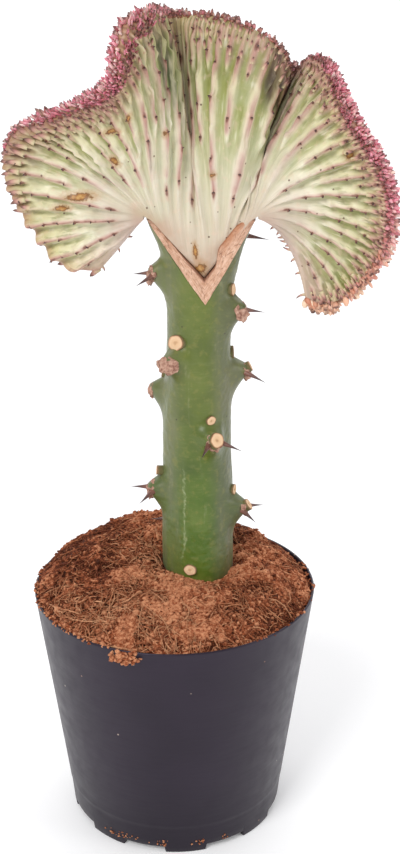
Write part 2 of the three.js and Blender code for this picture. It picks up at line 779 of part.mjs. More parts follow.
// The margin from v to the edge, with leaflets that stand out from every second point.
function marginSheet(start, fuller) {
  const rows = [
    { v: start, thick: 0.8, leaflets: 0 },
    { v: mix(start, 1, 0.5), thick: 0.95, leaflets: 1 },
    { v: 1, thick: 0.5, leaflets: 1 },
  ];
  const rings = rows.map(({ v, thick, leaflets }, row) => {
    const raised = (i, side) => ((i + row + (side === "front" ? 0 : 1)) % 2 === 0 ? leaflets : 0);
    const height = (u, at, i, side) => {
      const swell = crest.marginSwell + crest.leafletReach * raised(i, side);
      return fuller + thick * (halfThickness(u, at) + swell * endFade(u));
    };
    const rise = row === 2 ? crest.leafletRise : 0;
    return sheetRing(v, 8 * crest.mainRibs, height, (i) => v + rise * raised(i, "front"));
  });
  return stackSheet(rings);
}

function makeCrest() {
  const coarse = 2 * crest.mainRibs;
  // v of each ring, and its steps
  const rows = [
    [0, coarse],
    [0.1, coarse],
    [0.2, coarse],
    [0.3, coarse],
    [0.39, 2 * coarse],
    [0.48, 2 * coarse],
    [0.57, 2 * coarse],
    [0.65, 2 * coarse],
    [0.73, 4 * coarse],
    [0.81, 4 * coarse],
    [0.88, 4 * coarse],
    [crest.marginStart, 4 * coarse],
  ];
  const flesh = solidOf(stackSheet(rows.map(([v, steps]) => sheetRing(v, steps, fleshHeight))));
  // In the tight folds the margin leans over the flesh, so a slightly fuller margin is cut from it.
  const roomStart = crest.marginStart + 0.4 * crest.marginGap;
  const room = solidOf(marginSheet(roomStart, gap));
  return geometryOfSolid(flesh.subtract(room));
}

function makeMargin() {
  return marginSheet(crest.marginStart + crest.marginGap, 0);
}

// ---- cork band of the graft
function makeCork() {
  const rings = [];
  const along = (line, s) => {
    const tip = s < 0 ? line.left : line.right;
    return [mix(line.bottom[0], tip[0], Math.abs(s)), mix(line.bottom[1], tip[1], Math.abs(s))];
  };
  for (let k = 0; k <= cork.stations; k += 1) {
    const s = mix(-cork.reach, cork.reach, k / cork.stations);
    const [outerX, outerZ] = along(cut, s);
    const [innerX, innerZ] = along(cork, s);
    const section = stemSection(outerZ);
    const across = Math.min(Math.abs(outerX - section.x) / section.halfWidth, cork.widest);
    const outerDepth = section.halfDepth * Math.sqrt(1 - across * across) - cork.inset;
    const innerDepth = mix(outerDepth * cork.innerShare, cork.tipDepth, s * s);
    const middleDepth = mix(outerDepth, innerDepth, 0.5) + cork.swell * (2 * chance(k, 11) - 1);
    const middle = [mix(outerX, innerX, 0.5), mix(outerZ, innerZ, 0.5)];
    rings.push([
      [outerX, outerDepth, outerZ + cork.lift],
      [middle[0], middleDepth, middle[1]],
      [innerX, innerDepth, innerZ],
      [innerX, -innerDepth, innerZ],
      [middle[0], -middleDepth, middle[1]],
      [outerX, -outerDepth, outerZ + cork.lift],
    ]);
  }
  return stackRings(rings);
}

// ---- assembly
const plant = new THREE.Group();
plant.position.set(potAxisX, 0, 0);
plant.add(
  namedMesh("pot", makePot(), colours.pot, 0.45),
  namedMesh("soil", makeSoil(), colours.soil, 1),
  namedMesh("stem", makeStem(), colours.stem, 0.6),
  namedMesh("graft_cork", makeCork(), colours.cork, 0.9),
  namedMesh("crest", makeCrest(), colours.crest, 0.6),
  namedMesh("crest_margin", makeMargin(), colours.margin, 0.7),
);

const euphorbia = new THREE.Group();
euphorbia.add(plant);
export default euphorbia;
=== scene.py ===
# A grafted crested euphorbia in a nursery pot. Its front faces -Y.
# Shapes are worked out in millimetres from the pot's own axis and become metres when their mesh is made.
import functools
import math
import re
import bpy
import numpy as np
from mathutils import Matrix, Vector


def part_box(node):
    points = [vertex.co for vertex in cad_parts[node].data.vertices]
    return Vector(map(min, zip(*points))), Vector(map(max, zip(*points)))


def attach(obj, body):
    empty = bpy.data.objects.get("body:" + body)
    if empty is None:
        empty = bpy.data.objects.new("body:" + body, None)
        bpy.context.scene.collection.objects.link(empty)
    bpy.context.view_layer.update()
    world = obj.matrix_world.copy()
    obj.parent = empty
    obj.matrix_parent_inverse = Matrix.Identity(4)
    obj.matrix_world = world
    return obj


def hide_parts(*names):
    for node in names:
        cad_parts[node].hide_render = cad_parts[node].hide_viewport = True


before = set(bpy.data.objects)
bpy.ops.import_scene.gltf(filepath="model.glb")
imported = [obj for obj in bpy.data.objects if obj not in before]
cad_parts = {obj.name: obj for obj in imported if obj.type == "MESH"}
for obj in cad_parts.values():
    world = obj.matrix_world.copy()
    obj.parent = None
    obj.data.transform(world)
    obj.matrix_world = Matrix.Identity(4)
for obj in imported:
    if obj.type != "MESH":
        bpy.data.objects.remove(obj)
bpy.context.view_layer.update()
print("frame loaded")

millimetre = 0.001
potLow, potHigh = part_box("pot")
potAxisX = (potLow.x + potHigh.x) / 2 / millimetre


def addObject(name, data):
    added = bpy.data.objects.new(name, data)
    bpy.context.scene.collection.objects.link(added)
    return added


# The photograph's camera, from the pot's axis: distances in mm, pitch in radians, the picture in pixels.
photoCamera = {
    "pictureHeight": 854,
    "focalPixels": 1386.38,
    "right": 10.87,
    "distance": 530.16,
    "above": 392.3,
    "pitchDown": 0.383612,
}


def addCamera(look):
    data = bpy.data.cameras.new("photoCamera")
    data.sensor_width = 36
    data.lens = look["focalPixels"] / look["pictureHeight"] * data.sensor_width
    data.clip_start = 0.01
    data.clip_end = 50
    camera = addObject("photoCamera", data)
    place = (look["right"] + potAxisX, -look["distance"], look["above"])
    camera.location = [value * millimetre for value in place]
    camera.rotation_euler = (math.pi / 2 - look["pitchDown"], 0, 0)
    bpy.context.scene.camera = camera


addCamera(photoCamera)


# Numbers and noise.
def smoothstep(low, high, x):
    t = np.clip((x - low) / (high - low), 0, 1)
    return t * t * (3 - 2 * t)


def mix(a, b, share):
    return a + (b - a) * share


def unit(vectors):
    return vectors / np.maximum(np.linalg.norm(vectors, axis=-1, keepdims=True), 1e-9)


def turns(count):
    # the angles of points evenly round a circle
    return np.arange(count) * 2 * np.pi / count


latticeSize = 64
lattice = np.random.default_rng(11).random((latticeSize, latticeSize, latticeSize))


def softNoise(points, size, shift=0.0):
    # random numbers at corners `size` apart, blended between them with an S curve, from -1 to 1
    place = points / size + shift
    low = np.floor(place).astype(int)
    share = smoothstep(0, 1, place - low)
    total = np.zeros(points.shape[:-1])
    for corner in np.ndindex(2, 2, 2):
        weight = np.prod(np.where(np.array(corner) == 1, share, 1 - share), axis=-1)
        x, y, z = np.moveaxis((low + corner) % latticeSize, -1, 0)
        total += weight * lattice[x, y, z]
    return 2 * total - 1


def cellDomes(x, y, size, layer):
    # rounded lumps about `size` apart: the height of a dome over the nearest of a set of jittered grid
    # points, and that point's own random number
    cellX, cellY = np.floor(x / size), np.floor(y / size)
    nearest = np.full(x.shape, 9.0)
    tone = np.zeros(x.shape)
    for i, j in np.ndindex(3, 3):
        nearX, nearY = cellX + i - 1, cellY + j - 1
        draw = lattice[nearX.astype(int) % latticeSize, nearY.astype(int) % latticeSize]
        away = np.hypot(x / size - nearX - draw[..., layer], y / size - nearY - draw[..., layer + 1])
        closer = away < nearest
        nearest = np.where(closer, away, nearest)
        tone = np.where(closer, draw[..., layer + 2], tone)
    return np.sqrt(np.clip(1 - (nearest / 0.8) ** 2, 0, 1)), tone


# Meshes. A shape is its points, quads, triangles and a dictionary of values at its points.
def makePiece(name, shape, material, replaced=None):
    # a mesh of the shape, riding on the plant's one body
    points, quads, triangles, values = shape
    mesh = bpy.data.meshes.new(name)
    corners = np.concatenate([np.ravel(quads), np.ravel(triangles)]).astype(np.int32)
    starts = np.concatenate([np.arange(len(quads)) * 4, len(quads) * 4 + np.arange(len(triangles)) * 3])
    mesh.vertices.add(len(points))
    mesh.loops.add(len(corners))
    mesh.polygons.add(len(starts))
    mesh.vertices.foreach_set("co", np.ravel((points + [potAxisX, 0, 0]) * millimetre).astype(np.float32))
    mesh.loops.foreach_set("vertex_index", corners)
    mesh.polygons.foreach_set("loop_start", starts.astype(np.int32))
    for key, numbers in values.items():
        layer = mesh.attributes.new(key, "FLOAT", "POINT")
        layer.data.foreach_set("value", np.ravel(numbers).astype(np.float32))
    mesh.update(calc_edges=True)
    mesh.validate()
    mesh.shade_smooth()
    mesh.materials.append(material)
    piece = addObject(name, mesh)
    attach(piece, "root")
    if replaced:
        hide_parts(replaced)
    print(f"{name}: {2 * len(quads) + len(triangles)} triangles")
    return piece


def gridQuads(rows, columns):
    # quads between neighbouring rows of a grid of points, whose last column joins its first
    row = np.arange(rows - 1)[:, None] * columns
    column = np.arange(columns)
    a, b = row + column, row + (column + 1) % columns
    return np.stack([a, b, b + columns, a + columns], -1).reshape(-1, 4)


def poleTriangles(pole, ring, flip=False):
    # a fan from one point to a closed ring of points
    poles, following = np.full(len(ring), pole), np.roll(ring, -1)
    return np.stack((poles, following, ring) if flip else (poles, ring, following), -1)


def closedGrid(rows, columns, flip=False):
    # the faces of a grid of rings whose points are followed by the poles of its first and last ring
    ring = np.arange(columns)
    quads = gridQuads(rows, columns)
    first = poleTriangles(rows * columns, ring, not flip)
    last = poleTriangles(rows * columns + 1, (rows - 1) * columns + ring, flip)
    return quads[:, ::-1] if flip else quads, np.concatenate([first, last])


def stretch(way, length, share):
    # steps along each way: its length times each share
    return way[:, None] * (length[:, None] * share)[..., None]


def manyTubes(paths, across, widths, depths, sides):
    # tapered tubes along many paths at once: round each path point an ellipse, `widths` along `across`
    # and `depths` square to it; a pole closes each end. Its value is the share along each path.
    count, rings = paths.shape[:2]
    along = unit(np.gradient(paths, axis=1))
    across = np.broadcast_to(across[:, None, :], along.shape)
    across = unit(across - along * np.sum(across * along, axis=-1, keepdims=True))
    third = np.cross(along, across)
    angle = turns(sides)[:, None]
    wide = widths[..., None, None] * np.cos(angle) * across[:, :, None, :]
    deep = depths[..., None, None] * np.sin(angle) * third[:, :, None, :]
    ring = (paths[:, :, None, :] + wide + deep).reshape(count, rings * sides, 3)
    points = np.concatenate([ring, paths[:, :1], paths[:, -1:]], axis=1)
    shift = (np.arange(count) * points.shape[1])[:, None, None]
    quads, triangles = closedGrid(rings, sides)
    share = np.concatenate([np.repeat(np.linspace(0, 1, rings), sides), [0, 1]])
    values = {"share": np.tile(share, count)}
    return points.reshape(-1, 3), (quads + shift).reshape(-1, 4), (triangles + shift).reshape(-1, 3), values


def joinShapes(shapes):
    points, quads, triangles, values = zip(*shapes)
    starts = np.cumsum([0] + [len(part) for part in points])
    return (
        np.concatenate(points),
        np.concatenate([part + start for part, start in zip(quads, starts)]),
        np.concatenate([part + start for part, start in zip(triangles, starts)]),
        {key: np.concatenate([each[key] for each in values]) for key in values[0]},
    )


# Materials.
def linear(hexColour):
    # an sRGB hex colour as linear red, green, blue and alpha
    parts = [int(hexColour[i:i + 2], 16) / 255 for i in (1, 3, 5)]
    return [c / 12.92 if c <= 0.04045 else ((c + 0.055) / 1.055) ** 2.4 for c in parts] + [1.0]


def addNode(tree, kind, *numbered, output=None, stops=None, **given):
    # adds one node and gives its output. `given` has its settings and its inputs by name, in camelCase;
    # an input is a number, a hex colour or another node's output. `numbered` are its first inputs, and
    # `stops` a ramp's places and colours.
    added = tree.nodes.new("ShaderNode" + kind)
    if stops:
        elements = added.color_ramp.elements
        for place in list(stops)[2:]:
            elements.new(place)
        for element, (place, colour) in zip(elements, sorted(stops.items())):
            element.position = place
            element.color = linear(colour)
    inputs = dict(enumerate(numbered))
    for key, value in given.items():
        name = re.sub("([A-Z])", r" \1", key).title()
        if name in added.inputs:
            inputs[name] = value
        else:
            setattr(added, name.replace(" ", "_").lower(), value)
    named = {socket.name: socket for socket in reversed(added.inputs) if socket.enabled}
    for key, value in inputs.items():
        socket = named[key] if isinstance(key, str) else added.inputs[key]
        if isinstance(value, bpy.types.NodeSocket):
            tree.links.new(value, socket)
        else:
            socket.default_value = linear(value) if isinstance(value, str) else value
    return added.outputs[output] if output else next(each for each in added.outputs if each.enabled)


def startMaterial(name, constants):
    # a material whose shader has these constants, the function that adds its nodes, and the place in the
    # object, in metres
    material = bpy.data.materials.new(name)
    material.use_nodes = True
    for socket, value in constants.items():
        material.node_tree.nodes["Principled BSDF"].inputs[socket].default_value = value
    add = functools.partial(addNode, material.node_tree)
    return material, add, add("TexCoord", output="Object")


def stray(add, value, noise, reach):
    # the value, which the noise makes wander by up to `reach` both ways
    return add("Math", value, add("MapRange", value=noise, toMin=-reach, toMax=reach), operation="ADD")


def paintOver(add, base, layers):
    # lays colours over a base. Each layer is a colour and one or more soft steps that are multiplied for
    # its share: a value, the two ends of the step and its results there.
    for colour, *steps in layers:
        share = None
        for value, low, high, start, stop in steps:
            step = add("MapRange", interpolationType="SMOOTHSTEP", value=value,
                       fromMin=low, fromMax=high, toMin=start, toMax=stop)
            share = add("Math", share, step, operation="MULTIPLY") if share else step
        base = add("Mix", dataType="RGBA", factor=share, a=base, b=colour)
    return base


def finishMaterial(material, colour, height=None, strength=0.0, distance=0.0, rough=None):
    # links what the nodes give to the shader; a height is raised as bump over a distance in metres
    links, shader = material.node_tree.links, material.node_tree.nodes["Principled BSDF"]
    links.new(colour, shader.inputs["Base Color"])
    if height:
        bump = addNode(material.node_tree, "Bump", strength=strength, distance=distance, height=height)
        links.new(bump, shader.inputs["Normal"])
    if rough:
        links.new(rough, shader.inputs["Roughness"])
    return material


# The crest: a folded fan of flesh. crestRoot has its start along the inner V: x, z and the way the ribs
# leave, in degrees from +Z towards +X. crestEdge has its growing edge from the lower left tip to the
# lower right one: x, y, z, the way the ribs arrive and how far they lean to the front.
crestRoot = np.array([
    [-10.6, 266.9, -142],
    [-10.9, 267.6, -100],
    [-10.6, 268.3, -54],
    [-7.5, 266.3, -27],
    [-2.2, 260.4, -18],
    [5.2, 252.2, -10],
    [12.6, 244, 0],
    [19.6, 252.9, 9],
    [26.2, 261.2, 18],
    [30.1, 266.2, 27],
    [33.1, 268.2, 48],
    [33.4, 267.6, 84],
    [33.3, 266.9, 114],
])
crestEdge = np.array([
    [-29.6, 4, 243.6, -138, -14],
    [-43, 6, 246.6, -136, -28],
    [-52.6, 9, 257.4, -118, -37],
    [-60.4, 12, 270.6, -100, -40],
    [-64.6, 11, 285, -86, -35],
    [-60.6, 6, 298.1, -70, -10],
    [-51.8, 2, 302.9, -62, 5],
    [-42.6, -2, 306.2, -55, 10],
    [-34.6, -6, 310.2, -50, 15],
    [-27.7, -12, 314, -48, 25],
    [-22.5, -18, 318.9, -45, 40],
    [-19.4, -24, 325.3, -42, 52],
    [-18, -27, 332.6, -38, 55],
    [-15.6, -25, 339.6, -27, 50],
    [-11, -17, 343.3, -18, 40],
    [-7.2, -6, 343.7, -13, 22],
    [-4, 6, 342.4, -9, 5],
    [0, 14.5, 341, -6, 0],
    [6.5, 13, 340.8, -2, 0],
    [13, 6, 341.3, 1, 0],
    [20.1, 0, 340.5, 6, 0],
    [27.4, -4, 338.8, 12, 0],
    [34, -5.5, 335.6, 18, 0],
    [39.4, -3, 331.2, 22, 0],
    [42.2, 3, 326.4, 25, 0],
    [43.2, 9.5, 322.9, 26, 0],
    [46.4, 13.8, 321.2, 28, 0],
    [52, 14.2, 323.2, 32, 3],
    [56.2, 9.5, 324.8, 38, 10],
    [59.6, 3, 322.8, 44, 25],
    [62, -5, 317.5, 50, 36],
    [65.4, -10.5, 309.8, 55, 38],
    [70.2, -12, 301.6, 61, 35],
    [75.8, -12, 293.8, 68, 33],
    [80.9, -11.5, 284.5, 80, 28],
    [83.8, -9.5, 273.5, 94, 24],
    [84, -6.5, 261.4, 110, 18],
    [80.2, -3.5, 249.4, 126, 12],
    [72.6, 0, 238.6, 144, 8],
    [62.6, 2, 230.6, 160, 3],
    [53, 2, 232, 172, 0],
])
crest = {
    "rootPull": 0.95,  # how stiffly ribs leave the root and reach the edge, as shares of their length
    "edgePull": 0.85,
    "rootHalfThickness": 7.2,
    "midHalfThickness": 4.0,
    "edgeHalfThickness": 2.6,
    "mainRibs": 24,
    "relief": [3.0, 2.8, 2.2, 1.3],  # height of the ribs, and of those that start nearer the edge
    "births": [(0.02, 0.25), (0.42, 0.56), (0.72, 0.84), (0.87, 0.94)],  # where each kind grows out
    "lines": (0.22, 0.46, 0.72, 0.84),  # where the pigmented line along each kind of rib begins
    "thornStarts": (0.22, 0.5, 0.8),  # where the thorns begin on the first three kinds
    "ribPlaces": [  # shares along the edge, and how much of the two finest kinds of rib grows there
        [0, 0.085, 0.11, 0.22, 0.28, 0.9, 0.94, 1],
        [0, 0, 1, 1, 1, 1, 1, 1],
        [0, 0, 0, 0, 1, 1, 0, 0],
    ],
    # shares along the edge, and how far the ribs lean there: over 1 the steep face is on the side of
    # lower shares, under 1 on the other
    "lean": [[0, 0.3, 0.42, 0.56, 0.66, 1], [1.9, 1.7, 1.0, 1.0, 0.6, 0.55]],
    "calm": (0.47, 0.02),  # middle and half width of a stretch of lower, paler ribs
    "calmLoss": 0.8,
    "ribRoom": (0.6, 1.6),  # ribs closer than this many millimetres fade away
    "steepness": 0.4,  # most height of a rib, as a share of the way to the next
    "toothLength": 0.125,  # share of a rib from one thorn to the next
    "toothHeight": 1.6,
    "toothStagger": 0.37,  # how far each rib's teeth are out of step with the last one's
    # higher values paint the valleys greener and also darker, as painted shade
    "greenAndShade": [  # shares along the edge, and how green the valleys are there
        [0, 0.1, 0.17, 0.26, 0.38, 0.5, 0.56, 0.61, 0.7, 0.86, 0.93, 1],
        [0.7, 0.8, 1.35, 0.95, 1.1, 1.0, 2.0, 1.8, 0.95, 0.95, 1.4, 1.5],
    ],
    # Painted shade: dark green stripes down the fold and dark brown ones down the crevice.
    "shadedFold": (0.414, 0.036, 0.46, 0.8),  # middle and half width along the edge, and where it starts
    "crevice": (0.625, 0.04, 0.6, 0.84),
    "foldStripes": (0.394, 0.017, 0.53),  # a stripe, the way to the next, and where each rib has its own
    "wander": 0.07,  # how far a rib strays, as a share of the way to the next
    "foldShare": 0.72,  # share of the room in a fold that the sheet may fill
    "foldMinimum": 0.4,
    "foldReach": 0.05,
    "columns": 240,
    "seed": 5,
}


def onLine(rows, column, t):
    return np.interp(np.clip(t, 0, 1) * (len(rows) - 1), np.arange(len(rows)), rows[:, column])


def onCurve(rows, column, t):
    # a smooth curve through one column of a table, by Catmull and Rom's formula
    place = np.clip(t, 0, 1) * (len(rows) - 1)
    k = np.minimum(place.astype(int), len(rows) - 2)
    a, b, c, d = (rows[np.clip(k + i, 0, len(rows) - 1), column] for i in (-1, 0, 1, 2))
    s = place - k
    return b + 0.5 * s * (c - a + s * (2 * a - 5 * b + 4 * c - d + s * (3 * (b - c) + d - a)))


def edgeCoefficients():
    # the cubic of each stretch of the growing edge: a centripetal Catmull-Rom curve, open at both ends
    place = crestEdge[:, :3]
    p = np.vstack([2 * place[0] - place[1], place, 2 * place[-1] - place[-2]])
    knots = np.sqrt(np.linalg.norm(np.diff(p, axis=0), axis=1))[:, None]
    before, here, after = knots[:-2], knots[1:-1], knots[2:]
    p0, p1, p2, p3 = p[:-3], p[1:-2], p[2:-1], p[3:]
    leave = here * ((p1 - p0) / before - (p2 - p0) / (before + here) + (p2 - p1) / here)
    arrive = here * ((p2 - p1) / here - (p3 - p1) / (here + after) + (p3 - p2) / after)
    return p1, leave, 3 * (p2 - p1) - 2 * leave - arrive, 2 * (p1 - p2) + leave + arrive


edgeCubics = edgeCoefficients()


def edgePoint(t):
    place = np.clip(t, 0, 1) * (len(crestEdge) - 1)
    k = np.minimum(place.astype(int), len(crestEdge) - 2)
    s = (place - k)[:, None]
    a, b, c, d = (cubic[k] for cubic in edgeCubics)
    return a + s * (b + s * (c + s * d))


edgeShares = np.linspace(0, 1, 4001)
edgeLengths = np.concatenate([[0], np.cumsum(np.linalg.norm(np.diff(edgePoint(edgeShares), axis=0), axis=1))])


def edgeShare(u):
    # the place in the edge's table of a share u of its length
    return np.interp(np.clip(u, 0, 1) * edgeLengths[-1], edgeLengths, edgeShares)


def ribDirection(angle, lean):
    a, tilt = np.radians(angle), np.radians(lean)
    return np.stack([np.sin(a) * np.cos(tilt), -np.sin(tilt), np.cos(a) * np.cos(tilt)], -1)


def crestMiddle(u, v):
    # the middle of the sheet: u runs along the growing edge, v from the root to the edge, and each rib is
    # a Hermite cubic whose two pulls are shares of the straight way from root to edge
    root = np.stack([onLine(crestRoot, 0, u), np.zeros(len(u)), onLine(crestRoot, 1, u)], -1)
    t = edgeShare(u)
    edge = edgePoint(t)
    length = np.linalg.norm(edge - root, axis=-1, keepdims=True)
    leave = ribDirection(onCurve(crestRoot, 2, u), 0 * u) * length * crest["rootPull"]
    arrive = ribDirection(onCurve(crestEdge, 3, t), onCurve(crestEdge, 4, t)) * length * crest["edgePull"]
    v = v[:, None]
    square, cube = v * v, v * v * v
    return (
        root * (2 * cube - 3 * square + 1)
        + leave * (cube - 2 * square + v)
        + edge * (3 * square - 2 * cube)
        + arrive * (cube - square)
    )


def crestNormal(u, v):
    # square to the sheet, on its front, from small steps both ways; straight to the front at the root
    du, dv = 0.008, 0.01
    alongU = crestMiddle(np.minimum(u + du, 1), v) - crestMiddle(np.maximum(u - du, 0), v)
    alongV = crestMiddle(u, np.minimum(v + dv, 1)) - crestMiddle(u, np.maximum(v - dv, 0))
    free = unit(np.cross(alongU, alongV))
    return unit(mix(np.array([0.0, -1.0, 0.0]), free, smoothstep(0.08, 0.45, v)[:, None]))


def foldRoomTable():
    # how far each face may stand off the sheet's middle before it meets the other wall of a fold: the
    # radius of the largest ball that rests on the point and holds no other part of the middle
    us, vs = np.linspace(0, 1, 241), np.linspace(0, 1, 41)
    table = np.zeros((2, len(vs), len(us)))
    spread = np.linspace(0, 1, 193)
    for row, v in enumerate(vs):
        near = np.clip([v - crest["foldReach"], v, v + crest["foldReach"]], 0, 1)
        others = crestMiddle(np.tile(spread, 3), np.repeat(near, len(spread)))
        level = np.full(len(us), v)
        away = others[None] - crestMiddle(us, level)[:, None]
        height = np.einsum("ijk,ik->ij", away, crestNormal(us, level))
        square = np.sum(away * away, axis=-1)
        for side, sign in enumerate((1, -1)):
            ahead = sign * height > 1e-3
            radius = np.where(ahead, square / np.where(ahead, 2 * sign * height, 1), 1e3)
            table[side, row] = np.maximum(crest["foldShare"] * radius.min(axis=1), crest["foldMinimum"])
    return table


foldRooms = foldRoomTable()


def foldRoom(u, v, side):
    # the table's value at each point, mixed between its four neighbours; side is 1 in front, -1 behind
    rows, columns = foldRooms.shape[1:]
    x, y = np.clip(u, 0, 1) * (columns - 1), np.clip(v, 0, 1) * (rows - 1)
    i, j = np.minimum(x.astype(int), columns - 2), np.minimum(y.astype(int), rows - 2)
    page = (side < 0).astype(int)
    low, high = (mix(foldRooms[page, row, i], foldRooms[page, row, i + 1], x - i) for row in (j, j + 1))
    return mix(9, mix(low, high, y - j), smoothstep(0.2, 0.6, v))  # no folds near the root


def ribPhase(u, v):
    # ribs counted along the edge; each strays a little from its straight course
    place = np.stack([u * crest["mainRibs"] * 0.7, v * 4, 0 * u], -1)
    drift = softNoise(place, 1.0, 3.3)
    return u * crest["mainRibs"] + crest["wander"] * drift * smoothstep(0.1, 0.3, v)


def valleyWave(phase, u):
    # 0 on each whole number, 1 in the valley between, which lies nearer the steep face of its rib
    share = (phase - np.floor(phase)) ** np.interp(u, *crest["lean"])
    return np.sin(np.pi * share) ** 2


def ribSpacing(u, v):
    # millimetres from one main rib to the next
    low, high = np.maximum(u - 0.002, 0), np.minimum(u + 0.002, 1)
    way = np.linalg.norm(crestMiddle(high, v) - crestMiddle(low, v), axis=1)
    return way / (high - low) / crest["mainRibs"]


def ribGrowth(u, v):
    # how far each of the four kinds of rib has grown out: by v, by its place along the edge, and by the
    # room it has between its neighbours
    spacing = ribSpacing(u, v)
    places = crest["ribPlaces"]
    grown = []
    for level, (low, high) in enumerate(crest["births"]):
        here = np.interp(u, places[0], places[level - 1]) if level > 1 else 1.0
        grown.append(smoothstep(low, high, v) * smoothstep(*crest["ribRoom"], spacing / 2 ** level) * here)
    return grown


def toothWave(phase, v, level):
    # rises slowly along a rib to 1 at a thorn and drops behind it; neighbours are out of step
    rib = np.round(phase * 2 ** level) * 4 / 2 ** level
    step = v / crest["toothLength"] + crest["toothStagger"] * np.mod(rib, 3)
    share = step - np.floor(step)
    return np.where(share < 0.86, share / 0.86, (1 - share) / 0.14)


def plateau(u, middle, half):
    # 1 round the middle, falling to 0 past half a width from it
    return np.exp(-(((u - middle) / half) ** 4))


def ribRelief(u, v):
    # the height of the flesh's relief, and the phase: sharp ridges with round valleys between. The ribs
    # of each kind sink as the next kind grows between them, and carry the teeth.
    phase, growth, spacing = ribPhase(u, v), ribGrowth(u, v), ribSpacing(u, v)
    total, teeth = np.zeros(len(u)), np.zeros(len(u))
    for level, (height, grown) in enumerate(zip(crest["relief"], growth)):
        following = growth[level + 1] if level < 3 else 0
        wave = 1.05 - np.sqrt(valleyWave(phase * 2 ** level, u) + 0.012)
        tall = np.minimum(height, crest["steepness"] * spacing / 2 ** level)
        total += tall * wave * grown * (1 - 0.82 * following)
        teeth += np.where(level < 3, toothWave(phase, v, level) * wave * grown * (1 - following), 0)
    fade = smoothstep(0, 0.03, np.minimum(u, 1 - u)) * (1 - crest["calmLoss"] * plateau(u, *crest["calm"]))
    return fade * (total + crest["toothHeight"] * teeth * smoothstep(0.2, 0.4, v)), phase


def halfThickness(u, v):
    body = mix(crest["rootHalfThickness"], crest["midHalfThickness"], smoothstep(0, 0.4, v))
    thick = mix(body, crest["edgeHalfThickness"], smoothstep(0.4, 1, v))
    fromEnd = np.minimum(np.minimum(u, 1 - u) / 0.03 + 0.06, 1)
    return thick * np.sqrt(1 - (1 - fromEnd) ** 2)


def crestPoint(u, v, side, above=0.0):
    # a point on the front (side 1) or back (-1) of the flesh, or above it
    relief = ribRelief(u, v)[0]
    rim = np.sqrt(1 - (np.clip(v - 0.94, 0, 0.06) / 0.0605) ** 2)  # the edge is rounded off
    middle = crestMiddle(u, v)
    face = side[:, None]
    rough = 0.14 * softNoise(middle + face * 20, 2.6) + 0.3 * softNoise(middle + face * 9, 9.0)
    height = np.minimum(halfThickness(u, v) + relief + rough, foldRoom(u, v, side)) * rim + above
    return middle + crestNormal(u, v) * (side * height)[:, None]


def thornPlaces():
    # where thorns stand: one a tooth, on ribs of the first three kinds. Three small steps move each one
    # along the edge to where its rib has strayed.
    draw = np.random.default_rng(crest["seed"])
    ribs, steps = (grid.ravel() for grid in np.meshgrid(np.arange(97), np.arange(11), indexing="ij"))
    v = (steps - crest["toothStagger"] * np.mod(ribs, 3)) * crest["toothLength"] - 0.014
    first, second, third = crest["thornStarts"]
    starts = np.where(ribs % 4 == 0, first, np.where(ribs % 2 == 0, second, third))
    v = v + draw.uniform(-0.008, 0.008, len(v))
    starts = np.where((ribs < 10) & (ribs % 2 == 1), 2.0, starts)  # none on the fine ribs at the left end
    kept = (v > starts) & (v < 0.95) & (draw.random(len(v)) < np.interp(v, [0.5, 0.8], [0.55, 0.7]))
    ribs, v = ribs[kept], v[kept]
    u = ribs / 96
    for _ in range(3):
        u = u - (ribPhase(u, v) - ribs / 4) / crest["mainRibs"]
    inside = (u > 0.004) & (u < 0.996)
    return u[inside], v[inside]


thornU, thornV = thornPlaces()


def sheetRows():
    # v of each row of points and the number of steps along it; the steps double towards the edge
    base = crest["columns"]
    first = [(v, base) for v in np.linspace(0, 0.40, 22)]
    second = [(v, 2 * base) for v in np.linspace(0.415, 0.76, 29)]
    rim = [0.963, 0.975, 0.985, 0.993, 0.998, 1]
    third = [(v, 4 * base) for v in np.concatenate([np.linspace(0.775, 0.95, 19), rim])]
    return first + second + third


def sheetFaces(rows):
    # a closed skin over rows that each hold a front and a back. Where the steps double, three triangles
    # close a step. The two ends, the root and the edge are closed with narrow quads.
    quads, triangles = [], []
    starts = np.cumsum([0] + [2 * (steps + 1) for _, steps in rows])
    for (_, low), (_, high), lowFront, highFront in zip(rows, rows[1:], starts, starts[1:]):
        lowBack, highBack = lowFront + low + 1, highFront + high + 1
        for a, c, order in ((lowFront, highFront, 1), (lowBack, highBack, -1)):
            a, c = a + np.arange(low), c + np.arange(low) * (high // low)
            if high == low:
                quads.append(np.stack([a, a + 1, c + 1, c], -1)[:, ::order])
                continue
            for three in ((a, c + 1, c), (a, a + 1, c + 1), (a + 1, c + 2, c + 1)):
                triangles.append(np.stack(three, -1)[:, ::order])
        quads.append([
            [lowFront, highFront, highBack, lowBack],
            [lowFront + low, lowBack + low, highBack + high, highFront + high],
        ])
    for (_, steps), front, order in ((rows[0], starts[0], 1), (rows[-1], starts[-2], -1)):
        i = front + np.arange(steps)
        quads.append(np.stack([i, i + steps + 1, i + steps + 2, i + 1], -1)[:, ::order])
    return np.concatenate(quads), np.concatenate(triangles)


